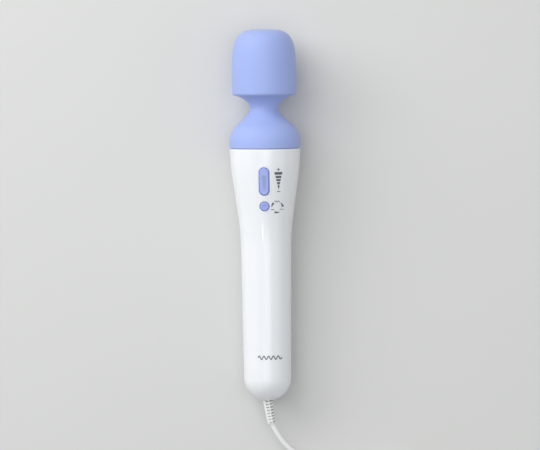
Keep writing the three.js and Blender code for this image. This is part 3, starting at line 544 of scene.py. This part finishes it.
class Hole:
    """An opening in the casing, straight through along Z, with a rounded edge.

    Its outline is a straight middle of half-length `half` with round ends; half is 0 for a round hole.
    """

    def __init__(self, x, station, radius, half, margin, fillet):
        self.x, self.station, self.radius = x, station, radius
        self.half, self.margin, self.fillet = half, margin, fillet

    def outline(self, points, out):
        """For plan points around the hole, the nearest points of its outline moved out by a distance."""
        relative = points - (self.x, self.station)
        middle = np.stack([np.zeros(len(points)), np.clip(relative[:, 1], -self.half, self.half)], axis=1)
        direction = relative - middle
        direction /= np.linalg.norm(direction, axis=1)[:, None]
        return middle + direction * (self.radius + out) + (self.x, self.station)


def casing_height(x, station, depth=0.0):
    """How far the casing's outside, moved in by a depth, stands above the axis."""
    return math.sqrt(max(0.0, (casing_radius(station) - depth) ** 2 - x * x))


def seam_columns():
    """The half shell's angles from seam to seam, and how far each sinks to round the seam's edge."""
    mouth = casing_radius(CASING_START)
    gap = SEAM_HALF_GAP / mouth
    edge = SEAM_ROUND / mouth
    low, *middle, high = np.radians(np.linspace(-90, 90, 73))
    low += gap
    high -= gap
    angles = np.array([low, low + edge * 0.4, low + edge, *middle, high - edge, high - edge * 0.4, high])
    sink = np.zeros(len(angles))
    sink[[0, -1]] = SEAM_ROUND
    sink[[1, -2]] = SEAM_ROUND * 0.4
    return angles, sink


def opening_window(hole, stations, angles):
    """The rows and columns of the shell's grid that an opening takes up: the first and last of each."""
    reach = hole.half + hole.radius + hole.margin
    inside = [i for i, station in enumerate(stations) if abs(station - hole.station) <= reach]
    radius = casing_radius(hole.station)
    low, high = (math.asin((hole.x + sign * (hole.radius + hole.margin)) / radius) for sign in (-1, 1))
    across = [j for j, angle in enumerate(angles) if low <= angle <= high]
    return inside[0] - 1, inside[-1] + 1, across[0] - 1, across[-1] + 1


def opening_rings(hole, plan, plan_inner):
    """The rings of (x, station, height) from the grid around an opening, over its edge and back inside."""
    near_edge = hole.outline(plan, hole.fillet)
    mouth_edge = hole.outline(plan, 0)
    steps = [(plan * (1 - share) + near_edge * share, 0, 0) for share in (0.3, 0.55, 0.75, 0.9, 1.0)]
    for angle in np.radians((25, 50, 70, 90)):
        out = hole.fillet * (1 - math.sin(angle))
        steps.append((hole.outline(plan, out), 0, hole.fillet * (1 - math.cos(angle))))
    steps += [(mouth_edge * (1 - share) + plan_inner * share, CASING_WALL, 0) for share in (0, 0.35, 0.7)]
    return [[(x, s, casing_height(x, s, depth) - drop) for x, s in points] for points, depth, drop in steps]


def between_loops(first, second):
    """Quads between two closed loops of vertex numbers."""
    return [(first[k - 1], first[k], second[k], second[k - 1]) for k in range(len(first))]


def build_casing(name, node, side, holes):
    """One half shell as a closed mesh, with rounded rims and openings."""
    outer, inner = casing_profiles()
    angles, sink = seam_columns()
    rows, columns = len(outer), len(angles)

    def wall(profile, sinks):
        return [((r - drop) * math.sin(a), -s, side * (r - drop) * math.cos(a))
                for r, s in profile for a, drop in zip(angles, sinks)]

    vertices = wall(outer, sink) + wall(inner, sink * 0)
    base = rows * columns
    removed = set()
    patches = []
    for hole in holes:
        top, bottom, left, right = opening_window(hole, outer[:, 1], angles)
        loop = [(top, j) for j in range(left, right)]
        loop += [(i, right) for i in range(top, bottom)]
        loop += [(bottom, j) for j in range(right, left, -1)]
        loop += [(i, left) for i in range(bottom, top, -1)]
        patches.append((hole, [i * columns + j for i, j in loop]))
        removed |= {(i, j) for i in range(top, bottom) for j in range(left, right)}

    faces = []
    for i in range(rows - 1):
        for j in range(columns - 1):
            if (i, j) not in removed:
                a = i * columns + j
                quad = (a, a + 1, a + columns + 1, a + columns)
                faces.append(quad)
                faces.append(tuple(base + k for k in reversed(quad)))
    for i in (0, rows - 1):
        for a in range(i * columns, (i + 1) * columns - 1):
            faces.append((a, a + 1, base + a + 1, base + a))
    for j in (0, columns - 1):
        for a in range(j, (rows - 1) * columns, columns):
            faces.append((a, a + columns, base + a + columns, base + a))

    for hole, loop in patches:
        plan, plan_inner = (np.array([(vertices[k + shift][0], -vertices[k + shift][1]) for k in loop])
                            for shift in (0, base))
        previous = loop
        for ring in opening_rings(hole, plan, plan_inner):
            current = range(len(vertices), len(vertices) + len(ring))
            vertices += [(x, -s, side * z) for x, s, z in ring]
            faces += between_loops(previous, current)
            previous = current
        faces += between_loops(previous, [base + k for k in loop])
    stand_for(new_object(name, vertices, faces, CASING, sharp=50), "handle", node)


def build_handle():
    """Both half shells, with the two key openings in front and four screw recesses behind."""
    speed = Hole(0, SPEED_KEY_STATION, KEY_RADIUS + KEY_GAP, SPEED_KEY_HALF, 2.2, APERTURE_FILLET)
    power = Hole(0, POWER_KEY_STATION, POWER_KEY_RADIUS + KEY_GAP, 0, 1.6, APERTURE_FILLET)
    build_casing("front_shell", "front_casing", 1, [speed, power])
    recesses = [Hole(x, s, SCREW_RECESS_RADIUS, 0, 1.6, 0.5) for x, s in SCREW_PLACES]
    build_casing("rear_shell", "rear_casing", -1, recesses)
    for index, (x, station) in enumerate(SCREW_PLACES):
        build_screw_boss(index + 1, x, station)


def build_screw_boss(number, x, station):
    """The tube that a casing screw goes down, seen from outside as a deep recess."""
    rim = -casing_height(abs(x) + SCREW_RECESS_RADIUS, station, CASING_WALL) - 0.6
    inner = SCREW_RECESS_RADIUS + 0.04
    outer = inner + 1.5
    bore = 1.7
    top = -0.4
    profile = [(inner, rim), (inner, SCREW_SEAT_Z), (bore, SCREW_SEAT_Z), (bore, top), (outer, top),
               (outer, rim)]
    rode(turned_upright(f"screw_boss_{number}", profile, x, station, CASING), "handle")


# ---- Keys ----

def key_directions(count, half):
    """Unit directions and middle points around a key's outline, starting on its right side."""
    directions, middles = [], []
    straight = count // 4 if half else 0
    bend = (count - 2 * straight) // 2
    for sign in (1, -1):
        for k in range(bend):
            angle = math.radians(180 * (k + 0.5) / bend) + (0 if sign > 0 else math.pi)
            directions.append((math.cos(angle), math.sin(angle)))
            middles.append((0, sign * half))
        for k in range(straight):
            directions.append((-sign, 0))
            middles.append((0, sign * half * (1 - 2 * (k + 0.5) / straight)))
    return np.array(directions, float), np.array(middles, float)


def build_key(name, body, node, station, radius, half, dish):
    """A key whose top follows the casing, with a rounded shoulder and a shallow dish."""
    sides = 128
    directions, middles = key_directions(sides, half)

    def ring(size, drop):
        points = middles + directions * size
        return [(x, -station + y, casing_height(x, station - y, -KEY_PROUD) - drop) for x, y in points]

    flat = radius - KEY_SHOULDER[-1][0]
    dish_power = 4 if half else 2
    rings = [ring(flat * share, dish * (1 - share ** dish_power)) for share in np.linspace(0, 1, 9)]
    rings += [ring(flat + out, drop) for out, drop in KEY_SHOULDER]
    bottom = middles + directions * radius
    rings.append([(x, -station + y, KEY_BOTTOM) for x, y in bottom])
    rings.append([(x * 0.5, -station + y * 0.98, KEY_BOTTOM) for x, y in bottom])
    vertices = [point for points in rings for point in points]
    faces = grid_faces(len(rings), sides, close_columns=True)
    faces.append(tuple(range(len(vertices) - sides, len(vertices))))
    stand_for(new_object(name, vertices, faces, KEY, sharp=45), body, node)


def on_key(x, station, raise_by):
    """Places a point above a key's top."""
    return x, -station, casing_height(x, station, -KEY_PROUD) + raise_by


def rounded_bar(centre_x, centre_s, width, height):
    """The outline, in plan, of a bar with round ends, as (x, station) points."""
    radius = min(width, height) / 2
    reach = width / 2 - radius
    return (arc(centre_x + reach, centre_s, radius, -90, 90, 5)
            + arc(centre_x - reach, centre_s, radius, 90, 270, 5))


def build_keys():
    """The rocker key with its row of narrowing ribs, and the round key with its mark."""
    build_key("speed_key_cap", "rocker", "speed_key", SPEED_KEY_STATION, KEY_RADIUS, SPEED_KEY_HALF, 0.15)
    build_key("power_key_cap", "power_button", "power_key", POWER_KEY_STATION, POWER_KEY_RADIUS, 0, 0.35)
    ribs = 8
    first, span = 128.4, 10.6
    widest, narrowing = 5.0, 3.4
    for k in range(ribs):
        share = k / (ribs - 1)
        outline = rounded_bar(0, first + span * share, widest - narrowing * share, 0.75)
        rib = prism(f"speed_key_rib_{k + 1}", [outline], -0.5, 0.02, on_key, KEY_RIB)
        rode(rib, "rocker")
    build_power_icon()


def cross_outline(arm, half_stroke):
    """An upright cross about the origin, with arms that narrow slightly towards their tips."""
    tip = half_stroke * 0.92
    corners = [(-tip, -arm), (tip, -arm), (half_stroke, -half_stroke)]
    outline = []
    for _ in range(4):
        outline += corners
        corners = [(-y, x) for x, y in corners]
    return outline


def arc_band(cx, cs, radius, width, from_deg, to_deg, count, taper=1.0):
    """A curved band in plan. Its width grows from taper times the width to the whole width."""
    outer, inner = [], []
    for k in range(count + 1):
        share = k / count
        angle = math.radians(from_deg + (to_deg - from_deg) * share)
        half = width / 2 * (taper + (1 - taper) * share)
        for side, distance in ((outer, radius + half), (inner, radius - half)):
            side.append((cx + distance * math.cos(angle), cs + distance * math.sin(angle)))
    return outer + inner[::-1]


def build_power_icon():
    """A generic power mark, raised on the round key."""
    stroke = 0.5
    upright = [(y, POWER_KEY_STATION - 0.9 + x) for x, y in rounded_bar(0, 0, 2.4, stroke)]
    shapes = {
        "power_mark_bar": upright,
        "power_mark_arc": arc_band(0, POWER_KEY_STATION, 1.75, stroke, -55, 235, 28),
    }
    for name, outline in shapes.items():
        mark = prism(name, [outline], -0.9, -0.16, on_key, KEY_MARK)
        rode(mark, "power_button")


# ---- Printed marks ----

PRINT_HEIGHT = 0.04


def on_casing(x, station, raise_by):
    """Places a point above the casing's front."""
    return x, -station, casing_height(x, station) + raise_by


def printed(name, outline):
    """A flat mark printed on the front casing."""
    mark = prism(name, [outline], -0.06, PRINT_HEIGHT, on_casing, INK)
    rode(mark, "handle")


def build_printed_scale():
    """A scale of bars that narrow downwards, between a plus and a minus."""
    centre = 12.55
    bars = [(6.9, 126.2, 2.35), (5.2, 129.4, 2.0), (4.0, 132.15, 1.9), (2.8, 134.9, 2.0)]
    slant = 0.16  # how much a bar's half-width shrinks for each millimetre down
    for k, (width, station, height) in enumerate(bars):
        top, bottom = width / 2, width / 2 - slant * height
        above, below = station - height / 2, station + height / 2
        printed(f"scale_bar_{k + 1}", [(centre - top, above), (centre + top, above),
                                       (centre + bottom, below), (centre - bottom, below)])
    kite = [(-0.4, 136.3), (0.4, 136.3), (0.85, 137.6), (0, 140.4), (-0.85, 137.6)]
    printed("scale_tip", [(centre + x, station) for x, station in kite])
    plus_station = 122.8
    plus = cross_outline(1.35, 0.3)
    printed("scale_plus", [(centre + x, plus_station + s) for x, s in plus])
    printed("scale_minus", rounded_bar(centre, 142.3, 3.0, 0.7))


def wave_band(x0, station, length, height, cycles, stroke, count):
    """A sine line with an even stroke, as a closed outline in plan.

    Inside a tight turn the stroke's edge would cross itself, so points past the turn's middle are left out.
    """
    top, bottom = [], []
    for k in range(count + 1):
        share = k / count
        x = x0 + length * share
        angle = 2 * math.pi * cycles * share
        slope = -height / 2 * math.cos(angle) * 2 * math.pi * cycles / length
        size = math.hypot(1, slope)
        s = station - height / 2 * math.sin(angle)
        nx, ns = -slope / size * stroke / 2, stroke / 2 / size
        turn = round(angle / math.pi - 0.5)
        turn_x = x0 + length * (turn + 0.5) / (2 * cycles)
        for side, sign, outer_turn in ((top, -1, 0), (bottom, 1, 1)):
            edge_x = x + sign * nx
            if turn % 2 == outer_turn or (edge_x - turn_x) * (x - turn_x) > 0:
                side.append((edge_x, s + sign * ns))
    return top + bottom[::-1]


def build_mode_ring():
    """Three arrows that chase each other round a ring, with a small waveform beside each gap."""
    x, station, radius = 11.0, POWER_KEY_STATION + 0.75, 4.75
    width, sweep = 2.0, 48
    for k, start in enumerate((-50, 68, 184)):
        arrow = arc_band(x, station, radius, width, start, start + sweep, 14, taper=0.25)
        printed(f"mode_arrow_{k + 1}", arrow)
    wave_length, low_row = 4.6, station + 2.1
    printed("mode_wave_even", wave_band(x - wave_length / 2, station - 5.0, wave_length, 1.3, 3, 0.4, 48))
    printed("mode_wave_steady", rounded_bar(x - 3.9, low_row, 3.0, 0.6))
    for k in range(3):
        printed(f"mode_wave_pulse_{k + 1}", rounded_bar(x + 2.6 + 1.25 * k, low_row, 0.85, 0.85))


def build_wave_mark():
    """A generic vibration mark low on the handle, in place of a name."""
    centre, station, length = 2.9, 289.2, 20.8
    printed("handle_wave_mark", wave_band(centre - length / 2, station, length, 3.0, 5, 0.85, 90))


# ---- Cord ----

def catmull_rom(points, count):
    """A centripetal Catmull-Rom curve through points, sampled evenly along its length."""
    p = np.array(points, float)
    p = np.vstack([2 * p[0] - p[1], p, 2 * p[-1] - p[-2]])

    def mix(first, last, start, stop, u):
        return (stop - u) / (stop - start) * first + (u - start) / (stop - start) * last

    dense = []
    for k in range(1, len(p) - 2):
        p0, p1, p2, p3 = p[k - 1:k + 3]
        t = np.cumsum([0, *[math.sqrt(np.linalg.norm(b - a)) for a, b in ((p0, p1), (p1, p2), (p2, p3))]])
        for u in np.linspace(t[1], t[2], 24, endpoint=k == len(p) - 3):
            a1 = mix(p0, p1, t[0], t[1], u)
            a2 = mix(p1, p2, t[1], t[2], u)
            a3 = mix(p2, p3, t[2], t[3], u)
            b1 = mix(a1, a2, t[0], t[2], u)
            b2 = mix(a2, a3, t[1], t[3], u)
            dense.append(mix(b1, b2, t[1], t[2], u))
    dense = np.array(dense)
    steps = np.linalg.norm(np.diff(dense, axis=0), axis=1)
    along = np.concatenate([[0], np.cumsum(steps)])
    even = np.linspace(0, along[-1], count + 1)
    return np.stack([np.interp(even, along, dense[:, i]) for i in range(3)], axis=1), along[-1]


PLUG_START = (90.0, 401.0, -7.6)
CORD_PLACES = [(0, BOOT_START, 0), (-0.3, 327, 0), (0.75, 336, -0.35), (3.45, 350, -1.6), (9, 361, -3.6),
               (17, 371.8, -6.4), (30, 382, -9.8), (47, 391, -12.9), (64, 397, -13.4), (79, 400.5, -9.6),
               PLUG_START, (96, 401, -7.6)]
CORD_LINE, CORD_LENGTH = catmull_rom([(x, -s, z) for x, s, z in CORD_PLACES], 400)


def on_cord(distance):
    """A point of the cord's line at a distance along it, and two directions square to the line there."""
    share = min(max(distance / CORD_LENGTH, 0), 1) * (len(CORD_LINE) - 1)
    index = min(int(share), len(CORD_LINE) - 2)
    point = CORD_LINE[index] + (CORD_LINE[index + 1] - CORD_LINE[index]) * (share - index)
    low, high = max(index - 2, 0), min(index + 3, len(CORD_LINE) - 1)
    tangent = CORD_LINE[high] - CORD_LINE[low]
    tangent /= np.linalg.norm(tangent)
    side = np.cross((0, 0, 1), tangent)
    side /= np.linalg.norm(side)
    return point, side, np.cross(tangent, side)


def cord_place(distance):
    """The same point in metres."""
    return Vector(on_cord(distance)[0]) * MM


def boot_radius(along):
    """The boot's outside radius past its neck, without its slots."""
    share = (along - BOOT_NECK_END) / (BOOT_LENGTH - BOOT_NECK_END)
    return BOOT_ROOT_RADIUS + (BOOT_TIP_RADIUS - BOOT_ROOT_RADIUS) * share


def boot_rows():
    """The boot's rings as (distance along, radius, how deeply the slots cut it, from 0 to 1)."""
    flange, collar, neck = 6.0, 5.7, 4.5
    rows = [(0.0, flange, 0), (3.4, flange, 0), (3.8, collar, 0), (4.2, neck, 0), (BOOT_NECK_END, neck, 0),
            (BOOT_NECK_END + 0.2, BOOT_ROOT_RADIUS, 0)]
    first_slot, pitch, width, count = 7.65, 2.72, 1.12, 8
    for k in range(count):
        start = first_slot + k * pitch
        stop = start + width
        for lip, outwards in ((start, -1), (stop, 1)):
            edge = [(lip + outwards * 0.1, 0), (lip, 0.04), (lip - outwards * 0.03, 1)]
            rows += [(along, boot_radius(lip), cut) for along, cut in edge[::-outwards]]
    end = boot_radius(BOOT_LENGTH)
    rows += [(BOOT_LENGTH - 0.4, end, 0), (BOOT_LENGTH - 0.12, end - 0.1, 0), (BOOT_LENGTH, end - 0.4, 0)]
    return rows


def slotted(radius, cut, degrees):
    """A ring's radius at an angle, with its slots cut."""
    edge = 3  # degrees from a slot's floor to the solid web beside it
    for middle, half_width, floor_radius in BOOT_SLOTS:
        away = abs((degrees - middle + 90) % 180 - 90)
        solid = np.clip((away - half_width) / edge, 0, 1)
        radius -= cut * (radius - floor_radius) * (1 - solid)
    return radius


def paint_shade_in_slots(boot):
    """Paints shade on the faces inside the slots with the darker materials, chosen by how far the faces are
    from the cord's line.
    """
    boot.data.materials.append(PAINTED_DEEP_SLOT_SHADE)
    boot.data.materials.append(PAINTED_SHALLOW_SLOT_SHADE)
    distances = np.linspace(0, BOOT_LENGTH, 300)
    line = np.array([on_cord(distance)[0] for distance in distances])
    deep, shallow = (floor_radius for _, _, floor_radius in BOOT_SLOTS)
    for face in boot.data.polygons:
        gaps = np.linalg.norm(line - np.array(face.center) / MM, axis=1)
        nearest = gaps.argmin()
        gap, along = gaps[nearest], distances[nearest]
        if along > BOOT_NECK_END and deep - 0.03 < gap < boot_radius(along) - 0.3:
            face.material_index = 1 if gap < (deep + shallow) / 2 else 2


def build_boot():
    """The strain relief: a tapered sleeve cut by rows of slots, by turns deep and shallow."""
    rows, sides = boot_rows(), 96
    bore = CORD_RADIUS + 0.05
    outside, inside = [], []
    for along, radius, cut in rows:
        point, side, above = on_cord(along)
        directions = [math.cos(a) * side + math.sin(a) * above for a in round_angles(sides)]
        outside.append([point + slotted(radius, cut, 360 * k / sides) * direction
                        for k, direction in enumerate(directions)])
        inside.append([point + bore * direction for direction in directions])
    vertices = np.array(outside + inside[::-1]).reshape(-1, 3)
    faces = grid_faces(2 * len(rows), sides, close_rows=True, close_columns=True)
    boot = new_object("cord_boot_ribbed", vertices, faces, CORD, sharp=35)
    paint_shade_in_slots(boot)
    blend_for(boot, cord_place(BOOT_BEND_START), cord_place(BOOT_BEND_END),
              "cord_boot")


def build_cord():
    """The cord in two lengths: one inside the boot, and one from the boot's end to the plug."""
    hidden = [on_cord(d)[0] for d in np.linspace(3.0, BOOT_LENGTH - 0.3, 40)]
    seen = [on_cord(d)[0] for d in np.linspace(BOOT_LENGTH - 0.6, CORD_LENGTH - 0.5, 190)]
    blend_for(swept("mains_cord_in_boot", hidden, CORD_RADIUS, CORD),
              cord_place(BOOT_BEND_START), cord_place(BOOT_BEND_END), "mains_cord")
    blend_for(swept("mains_cord_jacket", seen, CORD_RADIUS, CORD),
              cord_place(BOOT_LENGTH), cord_place(BOOT_LENGTH + CORD_BEND_LENGTH), "mains_cord")


def plug_sections(length, half_width, half_thick):
    """The plug's cross-sections as (distance along, half-width, half-thickness, squareness)."""
    neck_end, neck_radius, neck_groove = 9.0, 3.5, 0.45
    swell_length = 10.0
    grip_start, grip_end, grip_groove = 20.0, 28.0, 0.5
    pitch = 2.0
    fillet = 1.2
    sections = []
    for u in np.linspace(0, length, 86):
        if u >= length - fillet:
            break
        share = np.clip((u - neck_end) / swell_length, 0, 1)
        swell = share * share * (3 - 2 * share)
        slim = neck_radius + 0.05 * u * (1 - swell)
        a = slim + (half_width - neck_radius) * swell
        b = slim + (half_thick - neck_radius) * swell
        if u < neck_end:
            groove = neck_groove * ((1 + math.cos(2 * math.pi * (u - 1.0) / pitch)) / 2) ** 2
            a -= groove
            b -= groove
        if grip_start < u < grip_end:
            a -= grip_groove * ((1 - math.cos(2 * math.pi * (u - grip_start) / pitch)) / 2) ** 2
        sections.append((u, a, b, 2 + 2.2 * swell))
    for angle in np.radians((0, 20, 40, 60, 80, 90)):
        shrink = fillet * (1 - math.cos(angle))
        u = length - fillet + fillet * math.sin(angle)
        sections.append((u, half_width - shrink, half_thick - shrink, 4.2))
    return sections


def build_plug():
    """A moulded two-blade plug with a ringed neck, rounded sides and shallow grip grooves."""
    start_x, start_station, start_z = PLUG_START
    low, high = frame_box("mains_plug")
    length, *across = high - low
    half_width, half_thick = (size / 2 - 0.2 for size in across)
    sections = plug_sections(length, half_width, half_thick)
    sides = 72
    vertices = []
    for u, a, b, power in sections:
        for angle in round_angles(sides):
            c, s = math.cos(angle), math.sin(angle)
            y = a * math.copysign(abs(c) ** (2 / power), c)
            z = b * math.copysign(abs(s) ** (2 / power), s)
            vertices.append((start_x + u, -start_station + y, start_z + z))
    faces = grid_faces(len(sections), sides, close_columns=True) + end_caps(len(vertices), sides)
    body = new_object("mains_plug_body", vertices, faces, CORD, sharp=40)
    stand_for(body, "cord", "mains_plug")
    for number in (1, 2):
        build_blade(number)


def build_blade(number):
    """A flat contact blade with a rounded tip and a hole near it."""
    node = f"plug_blade_{number}"
    low, high = frame_box(node)
    centre_z = (low[2] + high[2]) / 2
    half = (high[2] - low[2]) / 2
    corner = 1.4
    bend_x = high[0] - corner
    outline = [(low[0], -half), *arc(bend_x, corner - half, corner, -90, 0, 6),
               *arc(bend_x, half - corner, corner, 0, 90, 6), (low[0], half)]
    hole_radius, hole_x = 1.5, high[0] - 4.5
    hole = [(hole_x + hole_radius * math.cos(a), hole_radius * math.sin(a)) for a in round_angles(20)]

    def upright(x, z, y):
        return x, y, centre_z + z

    blade = prism(f"contact_blade_{number}", [outline, hole], low[1], high[1], upright, BRASS)
    stand_for(blade, "cord", node)


# ---- Screws seen in the rear recesses ----

def build_screw_heads():
    """A cross-recessed pan head over each casing screw."""
    top, seat = SCREW_TOP_Z, SCREW_SEAT_Z
    head_radius, shank_radius, shank_end = 2.7, 1.3, 8.0
    profile = [(0, top + 0.15), (1.2, top + 0.18), (2.0, top + 0.35), (2.5, top + 0.8),
               (head_radius, seat - 0.4), (head_radius, seat), (shank_radius, seat),
               (shank_radius, shank_end), (0.6, shank_end + 1.0), (0, shank_end + 1.2)]
    for index, (x, station) in enumerate(SCREW_PLACES):
        screw = turned_upright(f"screw_{index + 1}", profile, x, station, STEEL)
        stand_for(screw, "handle", f"casing_screw_{index + 1}")

        def over_screw(across, along, z, x=x, station=station):
            return x + across, -station + along, z

        cross = prism(f"screw_cross_{index + 1}", [cross_outline(1.5, 0.28)], top + 0.3, top + 0.1,
                      over_screw, DARK)
        rode(cross, "handle")


# ---- Floor, light and camera ----

def build_floor():
    """A pale sheet under the shoulder and the tail. It rises towards the cord, then levels off."""
    half_size, steps = 3500.0, 60
    touch = -SHOULDER_RADIUS - 0.15
    slope = (SHOULDER_RADIUS - casing_radius(TAIL_STATION)) / (TAIL_STATION - JOINT_STATION)
    level_from, level_to = -560.0, -900.0

    def height(y):
        if y > level_from:
            return touch + slope * (-y - JOINT_STATION)
        share = min(1.0, (level_from - y) / (level_from - level_to))
        rise = (level_from - level_to) * (share - share * share / 2)
        return touch + slope * (-level_from - JOINT_STATION + rise)

    ys = sorted({*np.linspace(-half_size, half_size, steps), *np.linspace(-1000, -500, 30)})
    xs = np.linspace(-half_size, half_size, 5)
    vertices = [(x, y, height(y)) for y in ys for x in xs]
    floor = new_object("floor", vertices, grid_faces(len(ys), len(xs)), FLOOR)
    if floor.data.polygons[0].normal.z < 0:
        floor.data.flip_normals()


def area_light(name, position, size, power):
    """A round white lamp, in metres and watts, that faces the wand's middle."""
    target = Vector((0, -0.18, 0))
    data = bpy.data.lights.new(name, "AREA")
    data.shape = "DISK"
    data.size = size
    data.energy = power
    light = bpy.data.objects.new(name, data)
    light.location = position
    light.rotation_euler = (target - Vector(position)).to_track_quat("-Z", "Y").to_euler()
    bpy.context.scene.collection.objects.link(light)


def build_light():
    """Soft windows beyond the head and to the left, lamps overhead, and an even room."""
    area_light("low_window", (-1.7, 0.9, 1.0), 1.4, 19.3)
    area_light("far_window", (-0.7, 1.5, 1.3), 1.4, 11.8)
    area_light("high_window", (-0.9, 0.5, 2.0), 1.2, 7.0)
    area_light("overhead", (0.3, 0.1, 2.2), 1.6, 10.2)
    area_light("bounce_card", (1.6, -0.2, 1.2), 1.4, 1.9)
    area_light("small_lamp", (-0.40, -0.62, 1.95), 0.05, 0.9)
    world = bpy.data.worlds.new("room")
    world.use_nodes = True
    background = world.node_tree.nodes["Background"]
    background.inputs["Color"].default_value = (0.97, 0.98, 1.0, 1)
    background.inputs["Strength"].default_value = 0.407
    bpy.context.scene.world = world


CAMERA_DISTANCE = 3.0  # in metres
FRAME_WIDTH = 0.4785  # how much of the wand's plane the picture spans, in metres
SENSOR = 36.0
CENTRE_STATION = 173.1
CENTRE_RIGHT = 3.65
ROLL = math.radians(0.545)
LEAN = math.radians(2.1)  # the view comes a little from the wand's right
TILT = 0.060  # and a little from beyond its head


def build_camera():
    """Looks straight down on the floor, turned a little so that the wand leans to the left."""
    along = Vector((0, 1, -TILT)).normalized()
    normal = Vector((0, TILT, 1)).normalized()
    right = Vector((1, 0, 0))
    toward = (normal * math.cos(LEAN) + right * math.sin(LEAN)).normalized()
    level = (right * math.cos(LEAN) - normal * math.sin(LEAN)).normalized()
    picture_right = level * math.cos(ROLL) - along * math.sin(ROLL)
    picture_up = along * math.cos(ROLL) + level * math.sin(ROLL)
    target = Vector((0, -CENTRE_STATION, 0)) * MM + picture_right * CENTRE_RIGHT * MM
    data = bpy.data.cameras.new("camera")
    data.sensor_width = SENSOR
    data.lens = SENSOR * CAMERA_DISTANCE / FRAME_WIDTH
    camera = bpy.data.objects.new("camera", data)
    turn = Matrix((picture_right, picture_up, toward)).transposed()
    camera.matrix_world = Matrix.Translation(target + toward * CAMERA_DISTANCE) @ turn.to_4x4()
    bpy.context.scene.collection.objects.link(camera)
    bpy.context.scene.camera = camera


dress_cad_nodes()
build_head_cap()
build_neck()
build_neck_core()
build_handle()
build_keys()
build_printed_scale()
build_mode_ring()
build_wave_mark()
build_boot()
build_cord()
build_plug()
build_screw_heads()
build_floor()
build_light()
build_camera()
bpy.context.scene.view_settings.view_transform = "Standard"
